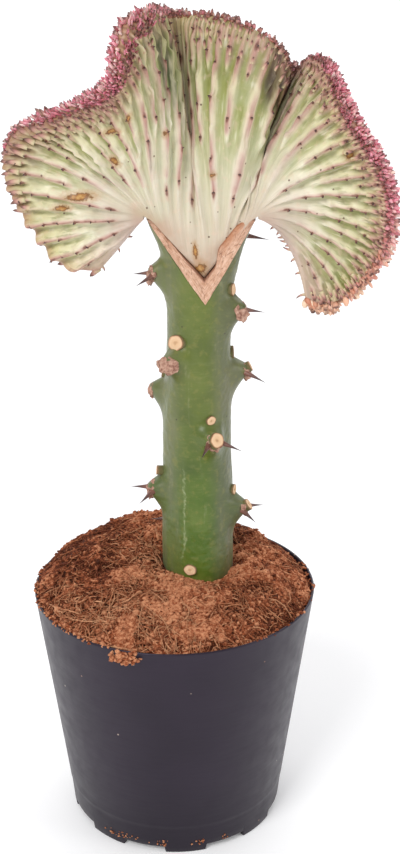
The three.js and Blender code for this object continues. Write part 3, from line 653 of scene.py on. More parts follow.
# The growing margin: young leaflets crowded along the edge. marginHabit goes along the edge's table from
# its first row to its last: row, length of the leaflets in mm, how many of them, how orange and how
# withered they are, how deep the band is in mm on each face, and how rosy and how brown the flesh is
# beside it.
margin = {"leaflets": 2500, "width": 0.6, "tuft": 0.2, "seed": 31}
marginHabit = np.array([
    [0, 1.3, 0.02, 0.0, 0.6, 0.6, 0.8, 0.1],
    [3.8, 1.3, 0.08, 0.0, 0.6, 0.6, 1.0, 0.5],
    [4.8, 1.5, 0.5, 0.0, 0.3, 0.9, 0.9, 1.0],
    [8.5, 2.6, 0.6, 0.0, 0.2, 1.6, 0.8, 1.0],
    [10.5, 2.3, 1.0, 0.0, 0.15, 6.0, 0.9, 0.6],
    [14, 2.3, 0.9, 0.05, 0.3, 6.5, 0.7, 0.35],
    [16, 2.1, 0.5, 0.1, 0.55, 2.5, 0.3, 0.3],
    [18, 1.5, 0.25, 0.1, 0.8, 1.0, 0.25, 0.12],
    [24, 1.5, 0.28, 0.1, 0.75, 1.0, 0.3, 0.35],
    [27, 1.6, 0.5, 0.05, 0.5, 1.6, 0.6, 0.7],
    [29.5, 2.1, 0.9, 0.05, 0.15, 2.6, 0.9, 0.3],
    [35, 2.4, 1.0, 0.15, 0.1, 3.2, 1.0, 0.35],
    [37, 2.8, 0.8, 0.65, 0.05, 3.0, 0.5, 0.2],
    [39.6, 3.2, 0.65, 1.0, 0.05, 3.0, 0.1, 0.0],
    [40, 3.2, 0.4, 1.0, 0.05, 3.0, 0.1, 0.0],
])


def habitOf(row, *columns):
    return [np.interp(row, marginHabit[:, 0], marginHabit[:, column]) for column in columns]


# Healed wounds on the front of the crest: x, z, half length, half height in mm and tilt in degrees.
wounds = np.array([
    [-35.5, 275.3, 5.2, 1.5, 4],
    [-42.7, 270.3, 3.0, 1.0, 6],
    [-21.4, 289.4, 2.0, 1.1, -35],
    [-22.2, 301.2, 2.5, 1.0, 10],
    [-15.4, 307.0, 0.8, 1.5, -20],
    [-2.1, 300.0, 0.9, 1.2, 0],
    [11.1, 247.6, 2.4, 2.1, 0],
    [9.1, 254.3, 0.9, 2.8, 6],
    [66.8, 292.6, 1.5, 1.5, 0],
    [81.3, 277.4, 1.9, 1.6, 0],
    [15.6, 284.0, 1.1, 1.3, 0],
])
farAway = 9.0  # stands for far from any ridge, thorn or wound


def woundShare(points, side):
    # 0 in the middle of the nearest wound, 1 at its rim, growing outside it
    nearest = np.full(len(points), farAway)
    for x, z, long, high, tilt in wounds:
        turn = math.radians(tilt)
        dx, dz = points[:, 0] - x, points[:, 2] - z
        along = (dx * math.cos(turn) + dz * math.sin(turn)) / long
        across = (dz * math.cos(turn) - dx * math.sin(turn)) / high
        nearest = np.minimum(nearest, np.hypot(along, across))
    return np.where(side > 0, nearest, farAway)


def thornDistance(points, side):
    # millimetres from each point to the nearest thorn on its own face; along the rib they count a third
    thorn = np.full(len(points), farAway)
    way = unit(crestMiddle(thornU, thornV + 0.01) - crestMiddle(thornU, thornV - 0.01))
    for sign in (1.0, -1.0):
        mine = side == sign
        thorns = crestPoint(thornU, thornV, np.full(len(thornU), sign))
        for block in np.array_split(np.arange(len(thorns)), 12):
            off = points[mine][:, None] - thorns[None, block]
            along = (off * way[None, block]).sum(axis=-1)
            away = np.sqrt((off ** 2).sum(axis=-1) - 0.89 * along ** 2)
            thorn[mine] = np.minimum(thorn[mine], away.min(axis=1))
    return thorn


def foldShade(u, v, side, place):
    # where the painted shade of a fold goes: 1 on the front of a fold, fading to its sides and towards the
    # root
    middle, half, low, high = place
    return plateau(u, middle, half) * smoothstep(low, high, v) * (side > 0)


def crestSkin():
    rows = sheetRows()
    u = np.concatenate([np.tile(np.linspace(0, 1, steps + 1), 2) for _, steps in rows])
    v = np.concatenate([np.full(2 * (steps + 1), level) for level, steps in rows])
    side = np.concatenate([np.repeat([1.0, -1.0], steps + 1) for _, steps in rows])
    points = crestPoint(u, v, side)
    phase, spacing, growth = ribPhase(u, v), ribSpacing(u, v), ribGrowth(u, v) + [0]
    # ridge: millimetres to the nearest ridge line, which fades in where its rib grows out; valley: 0 on a
    # ridge, 1 midway between the ribs that show most at v
    ridge, valley = np.full(len(u), farAway), np.zeros(len(u))
    for level, line in enumerate(crest["lines"]):
        finer = phase * 2 ** level
        across = np.abs(finer - np.round(finer)) / 2 ** level * spacing
        ridge = np.minimum(ridge, across + 4 * (1 - growth[level] * smoothstep(line, line + 0.1, v)))
        valley += valleyWave(finer, u) * growth[level] * (1 - growth[level + 1])
    valley *= np.interp(u, *crest["greenAndShade"]) * (1 - crest["calmLoss"] * plateau(u, *crest["calm"]))
    shaded = foldShade(u, v, side, crest["shadedFold"])
    stripe, apart, last = crest["foldStripes"]
    rosy, brown = habitOf(edgeShare(u) * 40, 6, 7)
    return points, *sheetFaces(rows), {
        "along": v,
        "valley": valley,
        "ridge": ridge,
        "thorn": thornDistance(points, side),
        "wound": woundShare(points, side),
        "end": np.minimum(u, 1 - u),
        # painted shade: down the front of the fold, on back faces pressed close in tight folds, and down the
        # crevice
        "fold": shaded + 0.8 * smoothstep(5, 1, foldRoom(u, v, side)) * (side < 0),
        "crevice": foldShade(u, v, side, crest["crevice"]),
        "across": phase,
        "stripe": np.where(
            u < last, np.cos(np.pi * (u - stripe) / apart) ** 2, np.sin(2 * np.pi * phase) ** 2),
        "rosy": rosy,
        "brown": brown,
    }


def fleshMaterial():
    # Living flesh of a crested spurge without chlorophyll, under a thin wax: cream at the heart, green in the
    # valleys and folds, deepened with painted shade, dark stripes of painted shade down the fold and the
    # crevice, mauve-brown along the ridges, brown scabs at the thorns, satin gleam.
    material, add, place = startMaterial("waxyCrestFlesh", {
        "Roughness": 0.44, "IOR": 1.42, "Coat Weight": 0.12, "Coat Roughness": 0.35,
        "Subsurface Weight": 0.06, "Subsurface Radius": (0.9, 0.7, 0.4), "Subsurface Scale": 0.0012})
    along, across, valley, stripe, ridge, thorn, end, fold, crevice, rosy, brown, wound = (
        add("Attribute", attributeName=name, output="Fac") for name in (
            "along", "across", "valley", "stripe", "ridge", "thorn", "end", "fold", "crevice", "rosy",
            "brown", "wound"))
    ribPlace = add("CombineXYZ", x=add("Math", across, 9.0, operation="MULTIPLY"),
                   y=add("Math", along, 7.0, operation="MULTIPLY"))
    streak = add("TexNoise", vector=ribPlace, scale=1.0, detail=4.0)  # up to 2 mm wide, 11 mm long
    broad = add("TexNoise", vector=place, scale=55.0, detail=3.0)  # 18 mm clouds
    fine = add("TexNoise", vector=place, scale=380.0, detail=4.0)  # 2.6 mm mottle
    grain = add("TexNoise", vector=place, scale=900.0, detail=3.0)  # 1 mm pores
    speck = add("TexVoronoi", vector=place, scale=165.0)  # 6 mm apart
    course = stray(add, along, broad, 0.12)
    scab = stray(add, thorn, fine, 0.7)
    torn = stray(add, wound, grain, 0.7)
    flesh = add("ValToRGB", fac=course, stops={
        0.0: "#c2b3a0", 0.12: "#ccbfaa", 0.3: "#d9d0bc", 0.5: "#ded8be", 0.78: "#ddd8ac", 0.92: "#cdc68e",
        1.0: "#aea26a"})
    # valley green, painted darker towards the edge as painted shade
    valleyGreenAndShade = add("ValToRGB", fac=course, stops={0.3: "#b4b48c", 0.62: "#9c9f62", 0.9: "#666e2c"})
    paintedFoldShade = add("ValToRGB", fac=stripe, stops={0.2: "#a8ac74", 0.5: "#6f7b39", 0.85: "#394716"})
    paintedCreviceShade = add("ValToRGB", fac=stripe, stops={0.15: "#7d7046", 0.5: "#4a3722", 0.9: "#24150e"})
    woundCork = add("ValToRGB", fac=torn, stops={
        0.0: "#c49c5e", 0.4: "#b07f42", 0.62: "#94622f", 0.8: "#6e4827", 0.95: "#a0815a"})
    shade = paintOver(add, flesh, [
        # green in the valleys, more of it in clouds and towards the edge, with painted shade: darker towards
        # the edge and olive where it is deepest
        (valleyGreenAndShade, (valley, 0.3, 0.95, 0.0, 1.0), (course, 0.1, 0.6, 0.2, 1.0),
         (broad, 0.3, 0.7, 1.0, 0.62)),
        ("#8b9146", (valley, 0.95, 1.7, 0.0, 0.85), (course, 0.4, 0.8, 0.0, 1.0)),
        ("#7e8448", (streak, 0.5, 0.7, 0.0, 0.75), (course, 0.25, 0.8, 0.2, 1.0)),  # fine streaks
        ("#efe9d0", (streak, 0.28, 0.46, 0.55, 0.0), (course, 0.2, 0.6, 0.3, 1.0)),
        ("#dcbfa8", (fine, 0.52, 0.72, 0.0, 0.3)),  # blush
        ("#b28d74", (along, 0.03, 0.17, 0.75, 0.0), (broad, 0.36, 0.58, 0.1, 1.0)),  # stained at the root
        ("#b9bd9c", (broad, 0.52, 0.68, 0.0, 0.3)),  # pale green clouds
        ("#c9a8a0", (end, 0.0, 0.05, 0.65, 0.0)),  # mauve at the two bare sides and their shoulders
        ("#b0968a", (end, 0.02, 0.2, 0.65, 0.0), (along, 0.15, 0.5, 1.0, 0.0)),
        # mauve along the ridges, with a darker core, most of it near the thorns
        ("#c9a097", (ridge, 0.3, 1.7, 0.65, 0.0), (thorn, 1.5, 4.0, 1.0, 0.35), (broad, 0.36, 0.6, 0.4, 1.0)),
        ("#a2726a", (ridge, 0.1, 0.7, 0.7, 0.0), (thorn, 1.0, 3.5, 1.0, 0.15), (broad, 0.36, 0.6, 0.4, 1.0)),
        # painted shade: dark green stripes down in the fold, dark brown ones down in the crevice
        (paintedFoldShade, (fold, 0.1, 0.8, 0.0, 0.95), (streak, 0.34, 0.6, 0.35, 1.0)),
        (paintedCreviceShade, (crevice, 0.1, 0.75, 0.0, 0.97), (streak, 0.34, 0.6, 0.65, 1.0)),
        # rosy and brown towards the growing edge
        ("#b9736a", (course, 0.84, 1.0, 0.0, 0.5), (rosy, 0.0, 1.0, 0.0, 1.0)),
        ("#87604f", (course, 0.62, 0.96, 0.0, 0.9), (brown, 0.0, 1.0, 0.0, 1.0),
         (valley, 0.1, 0.8, 0.5, 1.0)),
        # halo and scab at each thorn
        ("#bd8f80", (thorn, 0.6, 1.8, 0.55, 0.0)),
        ("#7a5042", (scab, 0.4, 1.05, 0.9, 0.0)),
        ("#5a3a2a", (speck, 0.05, 0.085, 0.85, 0.0)),  # dark specks 0.8 mm across
        # corky wounds: tan and cracked inside, with a dark rim
        ("#b48a5e", (torn, 0.9, 2.3, 0.55, 0.0)),
        (woundCork, (torn, 0.9, 1.15, 0.95, 0.0)),
    ])
    return finishMaterial(material, shade, grain, 0.35, 0.0004)


makePiece("crestFlesh", crestSkin(), fleshMaterial(), "crest")


def thornMaterial():
    # Dead horn of a spurge thorn: dark brown-purple keratin-like wood, dry, with a paler foot.
    material, add, place = startMaterial("driedThornHorn", {"Roughness": 0.42, "IOR": 1.5})
    fine = add("TexNoise", vector=place, scale=700.0, detail=3.0)  # 1.4 mm grain
    course = stray(add, add("Attribute", attributeName="share", output="Fac"), fine, 0.15)
    tone = add("ValToRGB", fac=course, stops={
        0.0: "#8f6252", 0.35: "#6f483c", 0.65: "#4c3332", 1.0: "#3a292b"})
    return finishMaterial(material, tone, fine, 0.4, 0.0002)


def crestThorns():
    # a small cone at each thorn's place on both faces, leaning outwards along its rib
    draw = np.random.default_rng(21)
    u, v = np.tile(thornU, 2), np.tile(thornV, 2)
    side = np.repeat([1.0, -1.0], len(thornU))
    root = crestPoint(u, v, side, -0.35)
    normal = crestNormal(u, v) * side[:, None]
    outwards = unit(crestMiddle(u, np.minimum(v + 0.01, 1)) - crestMiddle(u, v - 0.01))
    forward = draw.uniform(0.1, 0.9, len(u))[:, None]
    lean = unit(normal + outwards * forward + 0.3 * draw.normal(size=(len(u), 3)))
    length = draw.uniform(0.7, 1.5, len(u)) * np.interp(v, [0.2, 0.9], [0.8, 1.15])
    share = np.linspace(0, 1, 4)
    paths = root[:, None] + stretch(lean, length, share)
    widths = (0.62 * (1 - share) ** 0.8 + 0.05) * draw.uniform(0.8, 1.25, len(u))[:, None]
    return manyTubes(paths, np.cross(normal, outwards), widths, widths * 0.8, 5)


driedThorn = thornMaterial()
makePiece("crestThorns", crestThorns(), driedThorn)


def marginMaterial():
    # Skin of tiny succulent leaves full of red pigment: rose where young, wine-red in the crowd's shade,
    # withered grey-brown at the tips, orange-pink at the lower right.
    material, add, _ = startMaterial("roseLeafletSkin", {
        "Roughness": 0.42, "IOR": 1.42, "Subsurface Weight": 0.12,
        "Subsurface Radius": (1.0, 0.45, 0.35), "Subsurface Scale": 0.0008})
    share, tone, warm, dry = (
        add("Attribute", attributeName=name, output="Fac") for name in ("share", "tone", "warm", "dry"))
    rose = add("ValToRGB", fac=tone, stops={
        0.0: "#965056", 0.25: "#c46c7a", 0.5: "#e08598", 0.75: "#f0a8b4", 1.0: "#fadcd4"})
    orange = add("ValToRGB", fac=tone, stops={0.0: "#cc8668", 0.5: "#eeba9c", 1.0: "#f8dcc0"})
    return finishMaterial(material, paintOver(add, rose, [
        (orange, (warm, 0.0, 1.0, 0.0, 1.0)),
        ("#9a6a58", (share, 0.0, 0.35, 0.65, 0.0)),  # the foot
        ("#96694c", (dry, 0.0, 1.1, 0.0, 0.75)),
        ("#5f3f3a", (share, 0.62, 0.9, 0.0, 0.9), (dry, 0.0, 0.6, 0.06, 1.0)),  # the tip
    ]))


def marginLeaflets():
    # curled tongues in tufts on the rib ends: each leaves the flesh near the edge, leans out and sideways
    # at random and bends towards its own face; its width swells to the middle and closes at the tip
    draw = np.random.default_rng(margin["seed"])
    row = draw.uniform(3.8, 40, 3 * margin["leaflets"])
    row = row[draw.random(len(row)) * 1.6 < habitOf(row, 2)[0]][: margin["leaflets"]]
    length, warm, dry, deep = habitOf(row, 1, 3, 4, 5)
    count = len(row)
    u = np.interp(row / 40, edgeShares, edgeLengths / edgeLengths[-1])
    ribs = crest["mainRibs"] * 8
    u = np.clip((np.round(u * ribs) + margin["tuft"] * draw.normal(size=count)) / ribs, 0, 1)
    band = draw.uniform(-1, 1, count)
    side = np.where(band < 0, -1.0, 1.0)
    inner = np.abs(band)  # 0 at the very edge, 1 where the band ends on the flesh
    v = 1 - inner ** 1.3 * deep / 75
    root = crestPoint(u, v, side, -0.4)
    normal = crestNormal(u, v) * side[:, None]
    outwards = unit(crestMiddle(u, v) - crestMiddle(u, v - 0.02))
    tangent = np.cross(normal, outwards)
    lean = draw.normal(0, 0.26, count)
    stand = inner * draw.uniform(0.4, 1.0, count)
    direction = unit(outwards + normal * stand[:, None] + tangent * lean[:, None])
    curl = draw.uniform(-0.2, 0.5, count)
    length = length * draw.uniform(0.75, 1.5, count) * (1.2 - 0.5 * inner)
    share = np.linspace(0, 1, 6)
    bend = normal + tangent * draw.normal(0, 0.5, count)[:, None]
    paths = root[:, None] + stretch(direction, length, share) + stretch(bend, curl * length, 0.6 * share ** 2)
    width = margin["width"] * draw.uniform(0.75, 1.3, count) * mix(1, 1.9, warm)
    widths = width[:, None] * np.array([0.75, 0.88, 1.0, 1.0, 0.85, 0.45])
    across = tangent + 0.5 * draw.normal(size=(count, 3))
    points, quads, triangles, values = manyTubes(paths, across, widths, widths * 0.55, 5)
    own = {
        "tone": draw.normal(0.78, 0.2, count) - 0.5 * inner,
        "warm": warm + draw.normal(0, 0.12, count),
        "dry": dry + draw.normal(0, 0.25, count) + 0.25 * inner,
    }
    values |= {key: np.repeat(np.clip(numbers, 0, 1), len(points) // count) for key, numbers in own.items()}
    return points, quads, triangles, values


makePiece("marginLeaflets", marginLeaflets(), marginMaterial(), "crest_margin")


# The rib ends at the lower left, which stand out bare like fingers, the small tips of the finest ribs,
# and the small curled thorns along the two free sides of the sheet. Places are shares of the edge.
fingers = {
    "places": [0.002, 0.0208, 0.0335, 0.0455, 0.0625, 0.0833] + list(np.arange(10, 19) / 96),
    "length": 4.2,
    "radius": 1.45,
    "sizes": [[0.08, 0.105, 0.2, 0.24, 0.36, 0.62, 0.7, 1.0], [1.0, 0.8, 0.8, 0.6, 0.5, 0.5, 0.55, 0.6]],
    "nearTop": [[0.45, 0.5, 0.59, 0.62], [0, 0.022, 0.022, 0]],  # how much closer the tips are to the edge
    "hooks": [0.2, 0.27, 0.33, 0.38, 0.42, 0.47, 0.56, 0.7, 0.93],  # v along the right side
    "leftHooks": [0.35, 0.55, 0.9],
    "lowestHook": 4.6,
    "seed": 41,
}


def fingerMaterial():
    # The same flesh at the rib ends: cream at the foot, mauve further out, dead dark tip.
    material, add, place = startMaterial("darkTippedFlesh", {"Roughness": 0.45, "IOR": 1.42})
    fine = add("TexNoise", vector=place, scale=600.0, detail=3.0)  # 1.7 mm mottle
    course = stray(add, add("Attribute", attributeName="share", output="Fac"), fine, 0.12)
    return finishMaterial(material, add("ValToRGB", fac=course, stops={
        0.0: "#cdc49a", 0.35: "#c9ab8e", 0.6: "#bb8a80", 0.8: "#855e52", 1.0: "#523a34"}))


def fingerEnds():
    # a tapering finger at each rib end of the bare stretch and knuckles behind them on the front; then
    # small tips of the finest ribs on both faces, all along the rest of the edge
    draw = np.random.default_rng(fingers["seed"])
    behind = np.arange(9.5, 20) / 96
    tips = np.concatenate([np.arange(40, 76), np.arange(98, 191)]) / 192
    tips = tips + draw.uniform(-0.0012, 0.0012, len(tips))
    between = tips + 0.0026
    rows = [
        (np.array(fingers["places"]), 0.975, 1), (behind, 0.92, 1), (behind + 0.005, 0.85, 1),
        (tips, 0.95, 1), (between, 0.905, 1), (tips[::2], 0.86, 1), (tips, 0.95, -1), (between, 0.905, -1)]
    u = np.concatenate([row[0] for row in rows])
    v, side = (np.concatenate([np.full(len(row[0]), row[k]) for row in rows]) for k in (1, 2))
    count, bare = len(u), v > 0.97
    v = v + np.where(bare, 0, draw.uniform(-0.012, 0.012, count))
    v = v + np.where(bare, 0, np.interp(u, *fingers["nearTop"]))
    size = np.interp(u, *fingers["sizes"])
    outwards = unit(crestMiddle(u, v) - crestMiddle(u, v - 0.03))
    normal = crestNormal(u, v) * side[:, None]
    foot, skin = crestMiddle(u, v) - outwards * 0.8, crestPoint(u, v, side, -0.8) - outwards
    root = np.where(bare[:, None], foot, skin)
    length = fingers["length"] * size * draw.uniform(0.8, 1.25, count) * np.where(bare, 1, 1.5)
    share = np.linspace(0, 1, 8)
    bend = np.cross(normal, outwards) * draw.normal(0, 0.35, count)[:, None] + normal * 0.3
    rise = normal * np.where(bare, 0, 0.2)[:, None]
    paths = root[:, None] + stretch(outwards + rise, length, share) + stretch(bend, length, 0.5 * share ** 2)
    taper = np.append((1 - share[:-1]) ** 0.5 * 0.85 + 0.14, 0.05)
    widths = fingers["radius"] * (size * draw.uniform(0.85, 1.2, count))[:, None] * taper
    return manyTubes(paths, np.cross(normal, outwards), widths, widths * 0.9, 7)


def sideThorns():
    # small hooks along the two free sides, u 1 and 0, most of them on the right
    draw = np.random.default_rng(fingers["seed"] + 1)
    right = len(fingers["hooks"])
    v = np.array(fingers["hooks"] + fingers["leftHooks"])
    u = (np.arange(len(v)) < right).astype(float)
    outwards = unit(crestMiddle(u, v + 0.02) - crestMiddle(u, v - 0.02))
    off = unit(crestMiddle(u, v) - crestMiddle(np.abs(u - 0.02), v))
    length = draw.uniform(1.8, 3.0, len(u))
    length[right - 1] = fingers["lowestHook"]
    share = np.linspace(0, 1, 7)
    curl = draw.uniform(-0.6, 0.9, len(u)) * length
    root = crestMiddle(u, v) - off * 0.6
    paths = root[:, None] + stretch(off, length, share) + stretch(outwards, curl, share ** 2)
    widths = np.tile(0.75 * ((1 - share) ** 0.6 * 0.8 + 0.08), (len(u), 1))
    return manyTubes(paths, np.broadcast_to([0.0, 1.0, 0.0], outwards.shape), widths, widths, 6)


makePiece("fingerEnds", joinShapes([fingerEnds(), sideThorns()]), fingerMaterial())


# The rootstock: a green stem that flares into two wings, with tubercles in a spiral and a V cut in its
# head. Its sections give height, half width, half depth and the centre's x.
stemSections = np.array([
    [58, 11.5, 11.5, 10],
    [64, 14, 14, 10],
    [118, 15, 15, 10],
    [150, 14.7, 14.5, 9.9],
    [180, 14, 14, 9.6],
    [212, 13, 13.2, 10.3],
    [230, 12.7, 12.8, 10.6],
    [240, 13.2, 12.6, 10.9],
    [251, 15.5, 11.6, 11.2],
    [260, 18.7, 9.6, 11.3],
    [268, 22.4, 7.4, 11.3],
])
stem = {
    "radius": 14.6,
    "middleX": 0.0006,  # metres from the origin
    "bottom": 58,
    "headTop": 267.6,
    "soilLine": 120.4,
    "firstNode": 119,  # height of the lowest leaf node
    "nodeStep": 11.6,
    "nodes": 13,
    "firstAzimuth": -12,  # degrees from the front, towards +X
    "divergence": 137.5,  # the golden angle between one leaf and the next
    "tubercleReach": 6.6,
    "tubercleWidth": 4.6,
    "shoulder": 3.6,  # short slope above a tubercle
    "keel": 8,  # long slope below it
    "budRadius": 2.9,
    "scarRadius": 2.7,
    "scarRise": 6.4,
    "spineLength": 10.5,
    "spineRadius": 1.15,
    "spineSpread": 42,
    "spineDroop": 12,
    "spineApart": 0.13,  # half the way between the two spines of a shield, in radians round the stem
    "spineSunk": 1.5,
    "sides": 180,
    "rows": 330,
}
# How single nodes stray from the spiral, in degrees and millimetres, and what they have lost.
usualNode = {
    "turn": 0, "rise": 0, "size": 1, "petiole": 1.6, "thorns": [-1, 1], "scar": 1, "shield": 1, "bud": 0,
    "buried": False}
nodeHabits = {
    0: {"buried": True, "scar": 0.9},
    2: {"turn": 4, "rise": 3, "bud": 0.8, "scar": 0.8},
    3: {"turn": -13, "petiole": 4.4, "scar": 0.7},
    4: {"thorns": [1]},
    5: {"turn": 2, "rise": 3, "bud": 1.0, "scar": 0.72},
    6: {"turn": 10, "rise": 6, "size": 1.05, "thorns": []},
    7: {"turn": -8, "rise": 3.5, "size": 1.15, "thorns": [-1], "bud": 0.7},
    8: {"turn": -9, "size": 1.05, "thorns": [], "scar": 1.28, "shield": 1.5},
    9: {"size": 0.85},
    10: {"turn": 14, "rise": -3, "thorns": [1], "shield": 1.2},
    11: {"rise": -1.2, "petiole": 0, "shield": 1.1},
    12: {"petiole": 0},
}
# The V cut and the inner line of the cork that fills it: left tip, bottom and right tip as x and z.
cutLine = np.array([[-10.3, 266.3], [13, 234.4], [32.8, 266]])
corkLine = np.array([[-8.4, 266.6], [12.6, 243.2], [30.8, 266.3]])


def stemSection(z):
    # half width, half depth and centre at height z, with the table's corners rounded over 8 mm
    around = (-4, -2, 0, 2, 4)
    return [
        sum(np.interp(z + shift, stemSections[:, 0], column) for shift in around) / len(around)
        for column in stemSections.T[1:]]


def leafNodes():
    nodes = []
    for k in range(stem["nodes"]):
        node = usualNode | nodeHabits.get(k, {})
        node["azimuth"] = math.radians(stem["firstAzimuth"] - stem["divergence"] * k + node["turn"])
        node["z"] = stem["firstNode"] + stem["nodeStep"] * k + node["rise"]
        node["reach"] = stem["tubercleReach"] * node["size"]
        nodes.append(node)
    return nodes


stemNodes = leafNodes()
openNodes = [node for node in stemNodes if not node["buried"]]


def tubercleLift(azimuth, z):
    # each node lifts the skin: a bell across, a short slope above it and a long one below
    lift = np.zeros(azimuth.shape)
    for node in openNodes:
        turn = azimuth - node["azimuth"]
        across = np.arctan2(np.sin(turn), np.cos(turn)) * stem["radius"]
        above = z - node["z"]
        slope = np.where(above > 0, stem["shoulder"], stem["keel"])
        clear = smoothstep(stem["soilLine"], stem["soilLine"] + 8, z)
        bell = np.exp(-(np.abs(across) / stem["tubercleWidth"]) ** 2.2 - (np.abs(above) / slope) ** 2)
        lift += clear * node["reach"] * bell
    return np.minimum(lift, stem["tubercleReach"])


def stemPoint(azimuth, z, extra=0.0):
    halfWidth, halfDepth, x = stemSection(z)
    return np.stack([
        x + (halfWidth + extra) * np.sin(azimuth),
        -(halfDepth + extra) * np.cos(azimuth),
        z + 0 * azimuth,
    ], -1)


def cutHeight(x):
    # the height of the V at x, and of its straight continuation past the tips
    left, bottom, right = cutLine
    leftSlope = (left[1] - bottom[1]) / (left[0] - bottom[0])
    rightSlope = (right[1] - bottom[1]) / (right[0] - bottom[0])
    return bottom[1] + np.where(x < bottom[0], leftSlope, rightSlope) * (x - bottom[0])


def stemTop(azimuth):
    # where the skin meets the V, by halving: below it the height is less than the cut's height there
    low, high = np.full(azimuth.shape, stem["bottom"], float), np.full(azimuth.shape, stem["headTop"])
    for _ in range(30):
        z = (low + high) / 2
        under = z < cutHeight(stemPoint(azimuth, z)[..., 0])
        low, high = np.where(under, z, low), np.where(under, high, z)
    return low


def stemSkin():
    # rows of points round the stem from its foot to the V; the cut face is a strip between the front and
    # the back of the last row
    sides, rows = stem["sides"], stem["rows"]
    ring = turns(sides)
    z = mix(stem["bottom"], stemTop(ring)[None], np.linspace(0, 1, rows)[:, None])
    azimuth = np.broadcast_to(ring, z.shape)
    bare = stemPoint(azimuth, z)
    wrinkle = 0.28 * softNoise(bare * [1, 1, 0.35], 4.5) + 0.12 * softNoise(bare, 1.6)
    points = stemPoint(azimuth, z, tubercleLift(azimuth, z) + wrinkle).reshape(-1, 3)
    # the cut face joins front and back points of the last row; where they meet, a triangle closes it
    last = (rows - 1) * sides
    i = np.arange(1 - sides // 4, sides // 4 - 1)
    strip = last + np.stack([i, i + 1, sides // 2 - i - 1, sides // 2 - i], -1) % sides
    left, right = last + sides * 3 // 4, last + sides // 4
    ends = [[left, left + 1, left - 1], [right - 1, right, right + 1]]
    foot = poleTriangles(len(points), np.arange(sides), flip=True)
    # painted highlight: a long pale glossy streak low on the front, with a short one beside it
    across = (azimuth - 2 * np.pi * (azimuth > np.pi)) * stem["radius"] + 5.6
    ragged = softNoise(bare * [1, 1, 0.4], 1.3) * 0.6 + 0.5 * softNoise(bare, 0.8)
    high = smoothstep(128, 136, z) * smoothstep(172, 160, z)
    low = smoothstep(122, 126, z) * smoothstep(138, 132, z)
    mark = 0.8 * np.exp(-(((across + ragged) / 0.45) ** 2)) * high
    mark += 0.7 * np.exp(-(((across - 0.2 * (z - 130) + ragged) / 0.4) ** 2)) * low
    points = np.vstack([points, points[:sides].mean(axis=0)])
    faces = np.concatenate([gridQuads(rows, sides), strip]), np.concatenate([foot, ends])
    return points, *faces, {"paintedGloss": np.append(mark.ravel(), 0)}


def stemMaterial():
    # Waxy skin of a green spurge stem: leaf green in front, greyer in long streaks towards the sides with wax
    # bloom and painted sheen, darker olive at the right, faint growth lines, pale streaks of painted
    # highlight low on the front, and corky specks.
    material, add, place = startMaterial("waxyStemSkin", {
        "Roughness": 0.38, "IOR": 1.43, "Coat Weight": 0.12, "Coat Roughness": 0.25,
        "Sheen Weight": 0.06, "Sheen Roughness": 0.4, "Subsurface Weight": 0.04,
        "Subsurface Radius": (0.6, 0.9, 0.3), "Subsurface Scale": 0.001})
    across = add("SeparateXYZ", vector=place, output="X")
    height = across.node.outputs["Z"]
    broad = add("TexNoise", vector=place, scale=45.0, detail=3.0)  # 22 mm clouds
    stretched = add("Mapping", vector=place, scale=(1.0, 1.0, 0.12))
    streak = add("TexNoise", vector=stretched, scale=260.0, detail=4.0)  # 4 mm wide
    fine = add("TexNoise", vector=place, scale=420.0, detail=5.0)  # 2.4 mm mottle
    flat = add("Mapping", vector=place, scale=(0.25, 0.25, 1.0))
    lines = add("TexNoise", vector=flat, scale=1100.0, detail=3.0)  # 1 mm apart
    speck = add("TexVoronoi", vector=place, scale=120.0)  # 8 mm apart
    paintedGloss = add("Attribute", attributeName="paintedGloss", output="Fac")
    pores = add("TexNoise", vector=place, scale=1100.0, detail=2.0)  # 0.9 mm pores
    fromMiddle = add("Math", across, stem["middleX"], operation="SUBTRACT")
    away = add("Math", fromMiddle, operation="ABSOLUTE")
    lowGreen = add("ValToRGB", fac=broad, stops={0.3: "#39520f", 0.5: "#486312", 0.7: "#5f722a"})
    highGreen = add("ValToRGB", fac=broad, stops={0.3: "#4d5b20", 0.5: "#606c2a", 0.7: "#787846"})
    shade = paintOver(add, lowGreen, [
        (highGreen, (height, 0.14, 0.2, 0.0, 1.0)),
        # wax bloom and painted sheen, by distance from the stem's middle plane; darker olive towards the
        # right
        ("#6b6b52", (away, 0.0035, 0.0125, 0.0, 0.62), (streak, 0.35, 0.7, 0.5, 1.1)),
        ("#4f5237", (fromMiddle, 0.002, 0.012, 0.0, 0.5)),
        ("#86803f", (fine, 0.5, 0.75, 0.0, 0.35)),  # yellowing
        ("#7c8450", (lines, 0.5, 0.72, 0.0, 0.14)),  # weathered lines across the stem
        ("#9a9a78", (streak, 0.6, 0.72, 0.0, 0.3), (fine, 0.4, 0.6, 0.2, 1.0)),  # pale worn streaks
        ("#3c2f22", (speck, 0.03, 0.055, 0.85, 0.0)),
        # painted highlight along the glossy streaks
        ("#a3ab80", (paintedGloss, 0.0, 1.0, 0.0, 0.8), (fine, 0.35, 0.6, 0.2, 1.0)),
    ])
    return finishMaterial(material, shade, pores, 0.3, 0.0003)


makePiece("stemSkin", stemSkin(), stemMaterial(), "stem")


def outward(azimuth, rise):
    up = math.radians(rise)
    return np.array([math.sin(azimuth) * math.cos(up), -math.cos(azimuth) * math.cos(up), math.sin(up)])


def nodePoint(node, rise, extra, turn=0.0):
    # a point by a leaf node, as far outside the bare skin as `extra`
    return stemPoint(np.array(node["azimuth"] + turn), np.array(float(node["z"] + rise)), extra)


